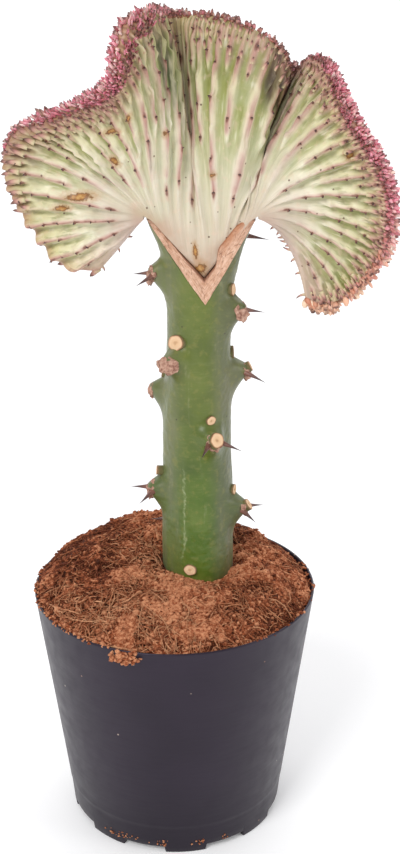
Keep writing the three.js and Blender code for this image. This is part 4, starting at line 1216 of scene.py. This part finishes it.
def stemSpines():
    # the thorns that each shield still has: cones that flare at the foot and bend a little, more of them down
    draw = np.random.default_rng(51)
    pairs = [(node, side) for node in openNodes for side in node["thorns"]]
    apart = stem["spineApart"]
    roots = np.array([nodePoint(node, -1.6, node["reach"] - 1.4, side * apart) for node, side in pairs])
    spread, droop = math.radians(stem["spineSpread"]), stem["spineDroop"]
    directions = np.array([outward(node["azimuth"] + side * spread, -droop) for node, side in pairs])
    lengths = stem["spineLength"] * np.array([draw.uniform(0.9, 1.02) for _ in pairs]) + stem["spineSunk"]
    share = np.linspace(0, 1, 12)
    paths = (roots - directions * stem["spineSunk"])[:, None] + stretch(directions, lengths, share)
    paths[..., 2] += draw.uniform(-0.6, 0.4, len(roots))[:, None] * share ** 2
    radius = stem["spineRadius"] * (1.25 * (1 - share) ** 1.4 + 0.25 * (1 - share)) + 0.02
    widths = np.broadcast_to(radius, (len(roots), len(share)))
    return manyTubes(paths, np.cross(directions, [0.0, 0.0, 1.0]), widths, widths * 0.85, 10)


def scabMaterial():
    # Dead bark of a spine shield: dry, rough, pinkish brown with dark cracks.
    material, add, place = startMaterial("dryShieldBark", {"Roughness": 0.8, "IOR": 1.5})
    bark = add("TexNoise", vector=place, scale=520.0, detail=5.0, roughness=0.7)  # 2 mm lumps
    tone = add("ValToRGB", fac=bark, stops={0.3: "#4c2c24", 0.4: "#8a5f4e", 0.52: "#b48a76", 0.7: "#d3b09b"})
    return finishMaterial(material, tone, bark, 0.9, 0.0006)


def framesOf(direction):
    # two directions square to the given one: sideways, and as near to up as can be
    sideways = unit(np.cross([0.0, 0.0, 1.0], direction))
    return sideways, np.cross(direction, sideways)


def roundAxis(radius, angle, height):
    # points round the Z axis
    return np.stack([radius * np.cos(angle), radius * np.sin(angle), height + 0 * angle], -1)


def stemScabs():
    # a warty shield at each node: a flattened ball, broad above and drawn out below, rough all over
    rings, sides = 13, 26
    tilt = (np.arange(rings)[:, None] + 1) * np.pi / (rings + 1)
    ring = roundAxis(np.sin(tilt), turns(sides), np.cos(tilt)).reshape(-1, 3)
    ball = np.vstack([ring, [0, 0, 1], [0, 0, -1]])
    x, y, z = ball.T
    shapes = []
    for node in openNodes:
        k, size = stemNodes.index(node), node["shield"]
        direction = outward(node["azimuth"], 18)
        sideways, upwards = framesOf(direction)
        centre = nodePoint(node, -1.4, node["reach"] - 1.9 + 1.6 * max(size - 1, 0))
        tall = np.where(y > 0, 3.3, 4.1) * min(0.4 + 0.6 * size, 1.8 - 0.65 * size)  # a large one is broad
        wide = 3.5 * (0.3 + 0.7 * size) * (1 - 0.28 * np.clip(-y, 0, 1))
        wide = wide * np.where(x < 0, 1, 1 + 0.5 * (size - 1))
        flat = sideways * (x * wide)[:, None] + upwards * (y * tall)[:, None]
        shape = flat + direction * (z * 2.1)[:, None]
        rough = 0.95 * softNoise(ball * 3, 1.5, k * 1.7) + 0.5 * softNoise(ball * 3, 0.6, k * 3.1)
        shape = shape + unit(shape) * (rough * (0.8 + 0.5 * size))[:, None]
        shapes.append((centre + shape, *closedGrid(rings, sides, flip=True), {}))
    return joinShapes(shapes)


# Cut discs: a profile from the middle of the face over the rim and down the side, as radius and height.
discProfile = np.array([
    [0.25, 0.06], [0.5, 0.1], [0.72, 0.07], [0.86, 0.0], [0.95, 0.1], [1.03, 0.06],
    [1.08, -0.2], [1.1, -0.6], [1.14, -0.9], [1.2, -1.0],
])
discSides, discSunk = 24, 2.0


def cutDisc(place, direction, radius, height, draw, oval=1.0):
    # the profile turned round the direction, its last rows let down to `height` below the face and sunk
    sideways, upwards = framesOf(direction)
    turn, deep = turns(discSides), height + discSunk
    uneven = 1 + 0.06 * np.sin(2 * turn + draw.uniform(0, 6)) + 0.035 * np.sin(5 * turn + draw.uniform(0, 6))
    r = discProfile[:, :1] * radius * uneven
    level = np.where(discProfile[:, 1] < -0.1, discProfile[:, 1] * deep, discProfile[:, 1] * radius * 0.6)
    tilt = 0.12 * radius * np.sin(turn + draw.uniform(0, 6))
    h = level[:, None] + np.where(discProfile[:, 1:] > -0.5, tilt, 0)
    ring = (
        place
        + sideways * (r * np.cos(turn))[..., None]
        + upwards * (r * oval * np.sin(turn))[..., None]
        + direction * h[..., None]
    )
    points = np.vstack([ring.reshape(-1, 3), place, place - direction * deep])
    rows = len(discProfile)
    face = np.concatenate([np.repeat(np.linspace(0.1, 1.9, rows), discSides), [0, 2]])
    return points, *closedGrid(rows, discSides, flip=True), {"face": face}


def discMaterial():
    # Healed cut: dry pale pith in faint rings, a brown corky rim and green-brown skin down its side.
    material, add, place = startMaterial("healedCutPith", {"Roughness": 0.72, "IOR": 1.48})
    fine = add("TexNoise", vector=place, scale=800.0, detail=4.0)  # 1.2 mm grain
    course = stray(add, add("Attribute", attributeName="face", output="Fac"), fine, 0.16)
    tone = add("ValToRGB", fac=add("Math", course, 0.5, operation="MULTIPLY"), stops={
        0.0: "#b58c66", 0.08: "#dab48c", 0.3: "#e2bf9a", 0.4: "#d0a680", 0.5: "#93694c", 0.62: "#6a5c38",
        0.8: "#566432"})
    return finishMaterial(material, tone, fine, 0.5, 0.0003)


def stemDiscs():
    # a leaf scar over most nodes and a cut side shoot in three shields; one leaf stalk is left as a stub
    draw = np.random.default_rng(61)
    shapes = []
    for node in stemNodes:
        scarHeight = node["petiole"]
        if scarHeight > 0:
            rise = 1 if node["buried"] else stem["scarRise"]
            direction = outward(node["azimuth"], 8)
            lift = tubercleLift(np.array([node["azimuth"]]), np.array([node["z"] + rise]))[0]
            place = nodePoint(node, rise, lift * 0.6) + direction * scarHeight * 0.6
            radius = stem["scarRadius"] * node["scar"]
            shapes.append(cutDisc(place, direction, radius, scarHeight, draw, 0.92))
        if node["bud"]:
            direction = outward(node["azimuth"], 28)
            place = nodePoint(node, 0, node["reach"] - 0.2) + direction * 0.9
            shapes.append(cutDisc(place, direction, stem["budRadius"] * node["bud"], 1.4, draw))
    return joinShapes(shapes)


makePiece("stemSpines", stemSpines(), driedThorn)
makePiece("stemScabs", stemScabs(), scabMaterial())
makePiece("stemScars", stemDiscs(), discMaterial())


# The band of cork in the V cut, between the stem and the crest.
cork = {"stations": 230, "reach": 0.985, "lip": 3.6, "lipDepth": 7.9}


def alongV(line, s):
    # a point on a V: s goes from -1 at its left tip over 0 at its bottom to 1 at its right tip
    tip = np.where((s < 0)[:, None], line[0], line[2])
    return mix(line[1], tip, np.abs(s)[:, None])


def corkBand():
    # sections across the V from its outer to its inner line in front and back again behind; the front
    # slopes from the stem's skin in to the crest, with lips, furrows and cracks along the band
    s = np.linspace(-cork["reach"], cork["reach"], cork["stations"])
    outer, inner = alongV(cutLine, s), alongV(corkLine, s)
    lip = smoothstep(0.2, 0.5, s) * smoothstep(1.15, 0.8, s)
    # a lip over the crest's right foot
    inner = inner + np.array([-0.84, 0.54]) * (cork["lip"] * lip)[:, None]
    halfWidth, halfDepth, x = stemSection(outer[:, 1])
    across = np.minimum(np.abs(outer[:, 0] - x) / halfWidth, 0.98)
    outerDepth = halfDepth * np.sqrt(1 - across ** 2) + 0.25
    innerDepth = mix(mix(outerDepth * 0.80, 4.6, np.abs(s) ** 2), cork["lipDepth"], lip)
    # share across the band, 0 outside and 1 inside, at each point of the half section
    q = np.array([0.0, 0.03, 0.08, 0.16, 0.25, 0.34, 0.43, 0.52, 0.61, 0.7, 0.79, 0.87, 0.93, 0.97, 1.0])
    sides = []
    for sign, share in ((-1, q), (1, q[::-1])):
        flat = outer[:, None] * (1 - share[None, :, None]) + inner[:, None] * share[None, :, None]
        depth = mix(outerDepth[:, None], innerDepth[:, None], share[None] ** mix(1, 0.35, lip)[:, None])
        bulge = 0.9 * np.sin(np.pi * np.clip(share, 0, 1)) ** 0.6 - 0.35
        place = np.stack(np.broadcast_arrays(s[:, None] * 38, share * 7, 3.0 * sign), -1)
        furrow = 0.5 * softNoise(place * [0.16, 1, 1], 0.9) + 0.3 * softNoise(place * [0.5, 1, 1], 0.7, 4.0)
        sides.append(np.stack([flat[..., 0], sign * (depth + bulge + furrow), flat[..., 1]], -1))
    ring = np.concatenate(sides, axis=1)
    rows, columns = ring.shape[:2]
    points = np.vstack([ring.reshape(-1, 3), ring[0].mean(axis=0), ring[-1].mean(axis=0)])
    return points, *closedGrid(rows, columns, flip=True), {
        "course": np.concatenate([np.repeat(s, columns), [s[0], s[-1]]]),
        "band": np.concatenate([np.tile(np.concatenate([q, q[::-1]]), rows), [0.5, 0.5]]),
    }


def corkMaterial():
    # Callus of a healed graft: dry tan-pink cork, split into cracked strands along the band, darker
    # where it meets the crest, with one rusty patch high on the right arm.
    material, add, place = startMaterial("crackedGraftCallus", {"Roughness": 0.78, "IOR": 1.48})
    course, band = (add("Attribute", attributeName=name, output="Fac") for name in ("course", "band"))
    # along the band and across it: strands up to 0.7 mm wide and 5 mm long
    strandPlace = add("CombineXYZ", x=add("Math", course, 5.0, operation="MULTIPLY"),
                      y=add("Math", band, 8.0, operation="MULTIPLY"))
    strand = add("TexNoise", vector=strandPlace, scale=1.6, detail=5.0, roughness=0.65)
    fine = add("TexNoise", vector=place, scale=650.0, detail=4.0)  # 1.5 mm grain
    mixed = add("Mix", dataType="FLOAT", factor=0.5, a=strand, b=fine)
    cells = add("TexVoronoi", feature="DISTANCE_TO_EDGE", vector=strandPlace, scale=0.9)  # 1 by 9 mm
    tone = add("ValToRGB", fac=mixed, stops={
        0.3: "#a0745a", 0.42: "#c79a7e", 0.55: "#d9b197", 0.72: "#e6c6ae"})
    return finishMaterial(material, paintOver(add, tone, [
        ("#7a4c34", (cells, 0.008, 0.04, 0.6, 0.0)),  # cracks between drawn-out cells
        ("#8a5940", (band, 0.9, 1.0, 0.0, 0.75)),
        ("#a86a42", (course, 0.42, 0.6, 0.0, 1.0), (band, 0.5, 0.85, 0.0, 0.75),
         (fine, 0.35, 0.55, 0.5, 1.0)),
    ]), mixed, 0.8, 0.0006)


makePiece("graftCork", corkBand(), corkMaterial(), "graft_cork")


# The pot: a thin moulded nursery pot with a step near its foot and notches between its feet.
pot = {
    "rimRadius": 60,
    "height": 106,
    "wall": 1.2,
    "stepHeight": 15,
    "stepRadius": 48.2,
    "footRadius": 46.4,
    "footWidth": 2.4,
    "floorUnderside": 3.6,
    "notches": 8,
    "notchHeight": 2.8,
    "notchAngle": 23,
    "drainHoles": 8,
    "drainRadius": 4,
    "drainCircle": 34,
    "drainSides": 32,
    "columns": 240,
}


def potWallRadius(z):
    share = (z - pot["stepHeight"]) / (pot["height"] - pot["stepHeight"])
    return mix(pot["stepRadius"], pot["rimRadius"], share)


def potShell():
    # a closed profile from the middle of the underside, over the foot, wall and rim, down inside to the
    # middle of the floor, turned round the axis; between the feet its lowest rows are lifted
    step, foot, wall, rim = pot["stepRadius"], pot["footRadius"], pot["wall"], pot["rimRadius"]
    under, shelf, brim = pot["floorUnderside"], pot["stepHeight"], pot["height"]
    floorTop = under + wall
    inner = foot - pot["footWidth"]
    up = np.linspace(shelf + 0.6, brim - 0.9, 24)
    profile = np.array(
        [[12, under], [26, under], [42, under], [inner - 0.3, under], [inner, under - 0.2]]
        + [[inner + 0.05, 0.25], [inner + 0.3, 0.0], [foot - 0.5, 0.0], [foot - 0.15, 0.15], [foot, 0.5]]
        + [[mix(foot, step - 0.6, t), mix(0.5, shelf - 3, t)] for t in (0.25, 0.5, 0.75, 1)]
        + [[step - 0.5, shelf - 2], [step - 0.3, shelf - 1.1], [step - 0.13, shelf - 0.4]]
        + [[step - 0.05, shelf + 0.3]]
        + [[potWallRadius(z) - 0.1, z] for z in up]
        + [[rim - 0.15, brim - 0.45], [rim - 0.3, brim - 0.12], [rim - 0.6, brim]]
        + [[rim - 0.95, brim - 0.1], [rim - wall, brim - 0.45]]
        + [[potWallRadius(z) - wall - 0.1, z] for z in up[::-3]]
        + [[step - wall - 0.6, shelf - 0.4], [foot - wall, floorTop + 0.4], [foot - wall - 0.5, floorTop]]
        + [[26, floorTop], [12, floorTop]]
    )
    half = pot["notchAngle"] / 2
    middles = -90 - half - 5 + np.arange(pot["notches"]) * 360 / pot["notches"]
    even = np.arange(pot["columns"]) * 360 / pot["columns"]
    brinks = [(middles + side * (half + off)) % 360 for side in (-1, 1) for off in (-0.35, 0.0, 0.35)]
    turn = np.unique(np.round(np.concatenate([even, *brinks]), 3))
    off = np.abs((turn[:, None] - middles[None] + 180) % 360 - 180).min(axis=1)
    lifted = pot["notchHeight"] * (1 - smoothstep(half - 0.3, half + 0.3, off))
    angle = np.radians(turn)
    r, z = profile[:, :1], profile[:, 1:]
    outside = np.arange(len(profile))[:, None] < 14
    z = np.where(outside & (z < lifted + 0.5), np.maximum(z, lifted + z * 0.15), z + 0 * lifted)
    # the thin wall is never quite round
    bow = 0.25 * np.sin(2 * angle + 0.7) * smoothstep(40, 106, z) * (r > 50)
    grid = roundAxis(r + bow, angle, z)
    points = np.vstack([grid.reshape(-1, 3), [0, 0, under], [0, 0, floorTop]])
    return points, *closedGrid(*grid.shape[:2]), {}


def potMaterial():
    # Moulded recycled polypropylene, near black with a violet cast: satin, faintly streaked round the
    # wall from the mould, dusted with pale and brown specks of potting mix under a millimetre.
    material, add, place = startMaterial("mouldedPolypropylene", {
        "Roughness": 0.4, "IOR": 1.47, "Specular Tint": linear("#e9dcf2")})
    height = add("SeparateXYZ", vector=place, output="Z")
    broad = add("TexNoise", vector=place, scale=40.0, detail=4.0)  # 25 mm clouds
    tone = add("ValToRGB", fac=broad, stops={0.3: "#140e18", 0.7: "#1c1520"})
    speck = add("TexVoronoi", vector=place, scale=130.0)  # 8 mm apart
    draw = add("SeparateColor", color=speck.node.outputs["Color"], output="Red")
    dust = add("ValToRGB", fac=draw.node.outputs["Green"], stops={
        0.0: "#8b5a3c", 0.5: "#a08c7c", 1.0: "#cfc6bb"})
    shade = paintOver(add, tone, [
        ("#0b080d", (height, 0.0, 0.05, 0.5, 0.0)),  # darker towards the foot: painted shade
        (dust, (speck, 0.03, 0.07, 1.0, 0.0), (draw, 0.45, 0.6, 0.0, 1.0)),
    ])
    scuff = add("TexNoise", vector=place, scale=160.0, detail=5.0)  # 6 mm scuffs
    rough = add("MapRange", value=scuff, fromMin=0.3, fromMax=0.7, toMin=0.34, toMax=0.47)
    stretched = add("Mapping", vector=place, scale=(1.0, 1.0, 6.0))
    streak = add("TexNoise", vector=stretched, scale=60.0, detail=3.0)  # 3 mm high, 17 mm long
    return finishMaterial(material, shade, streak, 0.15, 0.0005, rough)


def cutDrains(piece):
    # upright cylinders cut a ring of holes through the pot's floor
    foot = roundAxis(pot["drainCircle"], turns(pot["drainHoles"]), 0.0)
    heights = np.linspace(pot["floorUnderside"] - 2, pot["floorUnderside"] + 3, 3)
    paths = foot[:, None] + heights[:, None] * np.array([0.0, 0.0, 1.0])
    widths = np.full(paths.shape[:2], float(pot["drainRadius"]))
    points, quads, triangles, _ = manyTubes(paths, foot, widths, widths, pot["drainSides"])
    mesh = bpy.data.meshes.new("drainCutter")
    place = (points + [potAxisX, 0, 0]) * millimetre
    mesh.from_pydata(place.tolist(), [], quads.tolist() + triangles.tolist())
    cutter = addObject("drainCutter", mesh)
    cut = piece.modifiers.new("drains", "BOOLEAN")
    cut.object, cut.operation, cut.solver = cutter, "DIFFERENCE", "EXACT"
    bpy.context.view_layer.update()
    drained = piece.evaluated_get(bpy.context.evaluated_depsgraph_get())
    piece.data = bpy.data.meshes.new_from_object(drained)
    piece.modifiers.clear()
    bpy.data.objects.remove(cutter)


cutDrains(makePiece("potShell", potShell(), potMaterial(), "pot"))


# Coir: the bed of potting mix, loose crumbs on it and fibres over it.
soil = {
    "bottom": 5.1,
    "edgeTop": 104.4,
    "edgeTilt": 1.6,
    "moundHeight": 13,
    "moundBack": 0.3,
    "heapX": -2,
    "heapY": 26,
    "heapHeight": 3.6,
    "heapWidth": 26,
    "moatDepth": 2.2,
    "moatWidth": 6,
    "swell": 1.1,
    "pitDepth": 2.6,
    "outer": 58.6,
    "sectors": 400,
    "rings": 118,
    "crumbs": 6500,
    "clump": ([-18.4, -57.6, 103.6], [2.6, 0.7, 1.4], 70),  # its middle, its spread and its crumbs
    "spills": [(165, 245, 260), (-60, 20, 60)],  # from and to in degrees, and how many crumbs
    # the crumbs stuck along the foot: the angle of each run and its spread in degrees, 7 crumbs a run
    "footRuns": ([-121, -118, -97, -95, -77, -75, -63, -124, -112, -96], [2, 4, 1, 1, 1.5, 1, 1, 3, 6, 1]),
    "fibres": 3800,
    "seed": 81,
}
# Spots where the mix is paler or darker, the dark one painted shade in the hollow at the left: x, y, half
# width in x and in y, and how much darker it is.
shadeSpots = [(-4, -18, 22, 30, -0.24), (-32, -21, 6, 7, 0.5)]


def besideStem(x, y):
    # millimetres from the stem's skin, seen from above
    return np.hypot(x - 10, y) - stem["radius"]


def soilLevel(x, y):
    # the mound, higher behind; a heap behind the stem; a dip round the stem; and slow swells
    r = np.hypot(x, y) / 58.8
    edge = soil["edgeTop"] - soil["edgeTilt"] * x / pot["rimRadius"]
    mound = soil["moundHeight"] * (1 - r ** 5) * (1 + soil["moundBack"] * y / pot["rimRadius"])
    moat = soil["moatDepth"] * np.exp(-((besideStem(x, y) / soil["moatWidth"]) ** 2))
    heap = np.exp(-((x - soil["heapX"]) ** 2 + (y - soil["heapY"]) ** 2) / soil["heapWidth"] ** 2)
    heap = soil["heapHeight"] * heap * (1 - r ** 8)
    swell = np.sin(0.16 * x + 1.2 * np.sin(0.11 * y)) * np.sin(0.19 * y + 0.9 * np.sin(0.13 * x))
    pit = soil["pitDepth"] * np.exp(-((x + 38) ** 2 + (y + 16) ** 2) / 60)
    return edge + mound + heap - moat - pit + soil["swell"] * swell * (1 - r ** 4)


def soilShade(x, y):
    # how much darker the mix is painted: more at the right, partly painted shade away from the key light, and
    # behind, most at the left of the back, and spots
    shade = 0.2 * smoothstep(5, 45, x) + 0.12 * smoothstep(0, 40, y)
    shade += 0.36 * smoothstep(-16, -34, x) * smoothstep(-26, -2, y)
    for spotX, spotY, halfX, halfY, darker in shadeSpots:
        shade += darker * np.exp(-(((x - spotX) / halfX) ** 2) - ((y - spotY) / halfY) ** 2)
    return shade


def crumbRelief(x, y):
    # crumbs of three sizes lying together, with pits between; also each crumb's own tone, with painted shade
    # darker the lower it lies
    place = np.stack([x, y, 0 * x], -1)
    coarse, toneA = cellDomes(x, y, 3.4, 0)
    middle, toneB = cellDomes(x + 40, y + 9, 1.9, 3)
    small, toneC = cellDomes(x + 7, y + 55, 1.15, 6)
    patch = smoothstep(-0.2, 0.4, softNoise(place, 9.0))
    height = 1.5 * coarse * patch + 0.95 * middle + 0.55 * small + 1.1 * softNoise(place, 5.5) - 1.6
    # lower points are darker: painted shade in the pits
    tone = 0.4 * toneA * patch + 0.35 * toneB + 0.25 * toneC + 0.4 * (height + 0.2) - soilShade(x, y)
    return height, np.clip(tone, 0, 1)


def soilBed():
    # rings of points from the middle of the bottom out, up the wall and in over the rough top
    turn = turns(soil["sectors"])
    low = np.array([[20, soil["bottom"]], [44.6, soil["bottom"]], [46.6, 13.5], [46.9, 17], [58.2, 100.5]])
    wall = roundAxis(low[:, :1], turn, low[:, 1:])
    r = np.linspace(soil["outer"], 0.6, soil["rings"])[:, None]
    x, y = r * np.cos(turn), r * np.sin(turn)
    rough, tone = crumbRelief(x, y)
    z = soilLevel(x, y) + rough
    grid = np.concatenate([wall, np.stack([x, y, z], -1)])
    points = np.vstack([grid.reshape(-1, 3), [0, 0, soil["bottom"]], [0, 0, z[-1].mean()]])
    tones = np.concatenate([np.zeros(wall[..., 0].size) + 0.3, 0.75 * tone.ravel(), [0.3, 0.3]])
    return points, *closedGrid(*grid.shape[:2]), {"tone": tones}


def coirMaterial(name, low, middle, high, roughness):
    # Coir: pith and fibre of coconut husk, dry and matt, red-brown; each crumb or fibre has its own tone.
    material, add, place = startMaterial(name, {
        "Roughness": roughness, "IOR": 1.5, "Specular IOR Level": 0.2})
    fine = add("TexNoise", vector=place, scale=900.0, detail=4.0, roughness=0.7)  # 1 mm grain
    course = stray(add, add("Attribute", attributeName="tone", output="Fac"), fine, 1.1)
    colour = add("ValToRGB", fac=course, stops={0.05: low, 0.45: middle, 0.95: high})
    return finishMaterial(material, colour, fine, 1.0, 0.001)


coirPith = coirMaterial("coirPith", "#46200f", "#98502f", "#d8966e", 0.85)
coirFibre = coirMaterial("coirFibre", "#6e3520", "#b66c46", "#e0a67c", 0.6)
makePiece("soilBed", soilBed(), coirPith, "soil")


def icosahedron():
    long = (1 + 5 ** 0.5) / 2
    points = [[-1, long, 0], [1, long, 0], [-1, -long, 0], [1, -long, 0], [0, -1, long], [0, 1, long],
              [0, -1, -long], [0, 1, -long], [long, 0, -1], [long, 0, 1], [-long, 0, -1], [-long, 0, 1]]
    faces = [[0, 11, 5], [0, 5, 1], [0, 1, 7], [0, 7, 10], [0, 10, 11], [1, 5, 9], [5, 11, 4], [11, 10, 2],
             [10, 7, 6], [7, 1, 8], [3, 9, 4], [3, 4, 2], [3, 2, 6], [3, 6, 8], [3, 8, 9], [4, 9, 5],
             [2, 4, 11], [6, 2, 10], [8, 6, 7], [9, 8, 1]]
    return unit(np.array(points, float)), np.array(faces)


def lumps(centres, radii, draw, flat=0.75):
    # a jagged 20-sided lump at each centre, each turned and dented its own way
    points, faces = icosahedron()
    count = len(centres)
    a = unit(draw.normal(size=(count, 3)))
    b = unit(np.cross(a, draw.normal(size=(count, 3))))
    c = np.cross(a, b)
    dents = draw.uniform(0.65, 1.25, (count, 12, 1))
    local = points[None] * dents * draw.uniform(0.7, 1.35, (count, 1, 3))
    turned = local[..., :1] * a[:, None] + local[..., 1:2] * b[:, None] + local[..., 2:] * c[:, None]
    turned[..., 2] *= flat
    shapes = centres[:, None] + turned * radii[:, None, None]
    shift = (np.arange(count) * 12)[:, None, None]
    return shapes.reshape(-1, 3), (faces[None] + shift).reshape(-1, 3)


def onSoil(count, draw, keep=lambda x, y: np.ones(len(x), bool), outer=58.4):
    # places spread evenly over the soil's top, outside the stem, with the bed's height there
    r = outer * np.sqrt(draw.random(4 * count))
    turn = draw.uniform(0, 2 * np.pi, 4 * count)
    x, y = r * np.cos(turn), r * np.sin(turn)
    kept = np.flatnonzero((besideStem(x, y) > 1.2) & keep(x, y))[:count]
    x, y = x[kept], y[kept]
    return np.stack([x, y, soilLevel(x, y) + crumbRelief(x, y)[0]], -1)


def crumbsPiece():
    # crumbs on the bed, larger in front of the stem; a clump that hangs over the front rim;
    # crumbs spilt over the rim, most of them at the left; crumbs stuck along the foot of the wall
    draw = np.random.default_rng(soil["seed"])
    bed = onSoil(soil["crumbs"], draw)
    front = 1 - smoothstep(-40, 10, bed[:, 1])
    radii = np.clip(draw.gamma(3.0, 0.16, len(bed)), 0.2, 1.6) * mix(0.85, 1.25, front)
    clumpAt, clumpSpread, clumpCount = soil["clump"]
    clump = np.array(clumpAt) + draw.normal(size=(clumpCount, 3)) * clumpSpread
    turn = np.radians(np.concatenate([draw.uniform(*spill) for spill in soil["spills"]]))
    over = draw.uniform(57.6, 60.0, len(turn))
    spilt = roundAxis(over, turn, draw.uniform(105.2, 106.4, len(turn)))
    turn = np.radians(draw.normal(*soil["footRuns"], (7, 10)).ravel())
    z = draw.uniform(3.6, 6.6, len(turn))
    foot = roundAxis(mix(46.6, 47.3, (z - 0.5) / 13.5) + 0.15, turn, z)
    centres = np.concatenate([bed, clump, spilt, foot])
    sizes = [draw.uniform(*limits, len(part)) for limits, part in (
        ((0.7, 1.5), clump), ((0.3, 0.9), spilt), ((0.2, 0.5), foot))]
    points, faces = lumps(centres, np.concatenate([radii, *sizes]), draw)
    tone = np.clip(draw.normal(0.7, 0.2, len(centres)) - soilShade(centres[:, 0], centres[:, 1]), 0, 1)
    return points, np.zeros((0, 4), int), faces, {"tone": np.repeat(tone, 12)}


makePiece("coirCrumbs", crumbsPiece(), coirPith)


def fibresPiece():
    # hair-like fibres that lie on the bed: each starts at a place, runs one way and bends; its height
    # follows the mound, with a low arch of its own
    draw = np.random.default_rng(soil["seed"] + 1)
    # the last ones are long: most lie near the front rim, the rest right of the stem
    start = [
        onSoil(soil["fibres"], draw),
        onSoil(110, draw, lambda x, y: (x > 24) & (y < 30) & (y > -42) & (x < 50)),
        onSoil(150, draw, lambda x, y: (y < -34) & (x < 14)),
    ]
    usual, start = len(start[0]), np.concatenate(start)
    count = len(start)
    turn = draw.uniform(0, 2 * np.pi, count)
    turn[usual:] = draw.normal(-1.1, 0.5, count - usual)
    length = np.clip(draw.gamma(3.0, 2.0, count), 2.5, 22)
    length[usual:] = draw.uniform(14, 30, count - usual)
    bend = draw.normal(0, 0.8, count)
    share = np.linspace(-0.5, 0.5, 7)
    way = turn[:, None] + bend[:, None] * share
    x = start[:, :1] + np.cos(way) * length[:, None] * share
    y = start[:, 1:2] + np.sin(way) * length[:, None] * share
    inside = np.minimum(1, 58.3 / np.maximum(np.hypot(x, y), 1))
    x, y = x * inside, y * inside
    arch = draw.uniform(0.1, 0.9, count)[:, None] * (1 - (2 * share) ** 2)
    arch = arch + draw.uniform(-0.5, 0.9, count)[:, None]
    slope = draw.normal(0, 0.12, count)[:, None] * share * length[:, None]
    paths = np.stack([x, y, soilLevel(x, y) + arch + slope - 0.3], -1)
    radius = (0.09 + draw.gamma(2.0, 0.05, count).clip(0, 0.3))[:, None] * (1 - 0.6 * np.abs(2 * share) ** 3)
    clear = besideStem(x, y).min(axis=1) > 0.6
    paths, radius = paths[clear], radius[clear]
    across = np.broadcast_to([0.0, 0.0, 1.0], (len(paths), 3))
    points, quads, triangles, _ = manyTubes(paths, across, radius, radius, 3)
    shade = soilShade(start[clear, 0], start[clear, 1])
    tone = np.clip(draw.normal(0.5, 0.25, len(paths)) + 0.25 * (np.flatnonzero(clear) >= usual) - shade, 0, 1)
    return points, quads, triangles, {"tone": np.repeat(tone, len(points) // len(paths))}


makePiece("coirFibres", fibresPiece(), coirFibre)


# The stage: one pale floor, a white room and soft boxes.
def floorMaterial():
    # Matt white acrylic of a light table, faintly lit from below, with the faintest cloudiness.
    material, add, place = startMaterial("whiteLightTable", {
        "Roughness": 0.9, "IOR": 1.45, "Emission Color": linear("#ffffff"), "Emission Strength": 0.12})
    broad = add("TexNoise", vector=place, scale=3.0)  # 330 mm clouds
    return finishMaterial(material, add("ValToRGB", fac=broad, stops={0.3: "#f6f6f6", 0.7: "#f9f9f9"}))


def addFloor(half):
    mesh = bpy.data.meshes.new("floor")
    corners = [(-half, -half, 0), (half, -half, 0), (half, half, 0), (-half, half, 0)]
    mesh.from_pydata(corners, [], [(0, 1, 2, 3)])
    mesh.materials.append(floorMaterial())
    addObject("floor", mesh)


def addLight(name, place, aim, width, height, power):
    data = bpy.data.lights.new(name, "AREA")
    data.shape = "RECTANGLE"
    data.size, data.size_y = width, height
    data.energy = power
    light = addObject(name, data)
    light.location = place
    light.rotation_euler = (Vector(aim) - Vector(place)).to_track_quat("-Z", "Y").to_euler()


def addRoom(strength):
    world = bpy.data.worlds.new("whiteRoom")
    world.use_nodes = True
    background = world.node_tree.nodes["Background"]
    background.inputs["Color"].default_value = linear("#fcfcff")
    background.inputs["Strength"].default_value = strength
    bpy.context.scene.world = world


addFloor(8.0)
addRoom(0.55)
addLight("keyBox", (-0.8, -1.3, 1.45), (0, 0, 0.2), 0.8, 0.8, 22)
addLight("fillBox", (1.4, -0.5, 0.6), (0, 0, 0.18), 0.6, 1.2, 6)
addLight("backdropBox", (0, 3.4, 2.8), (0, 2.6, 0), 7.0, 4.0, 130)
bpy.context.scene.view_settings.view_transform = "Standard"
print("stage ready")
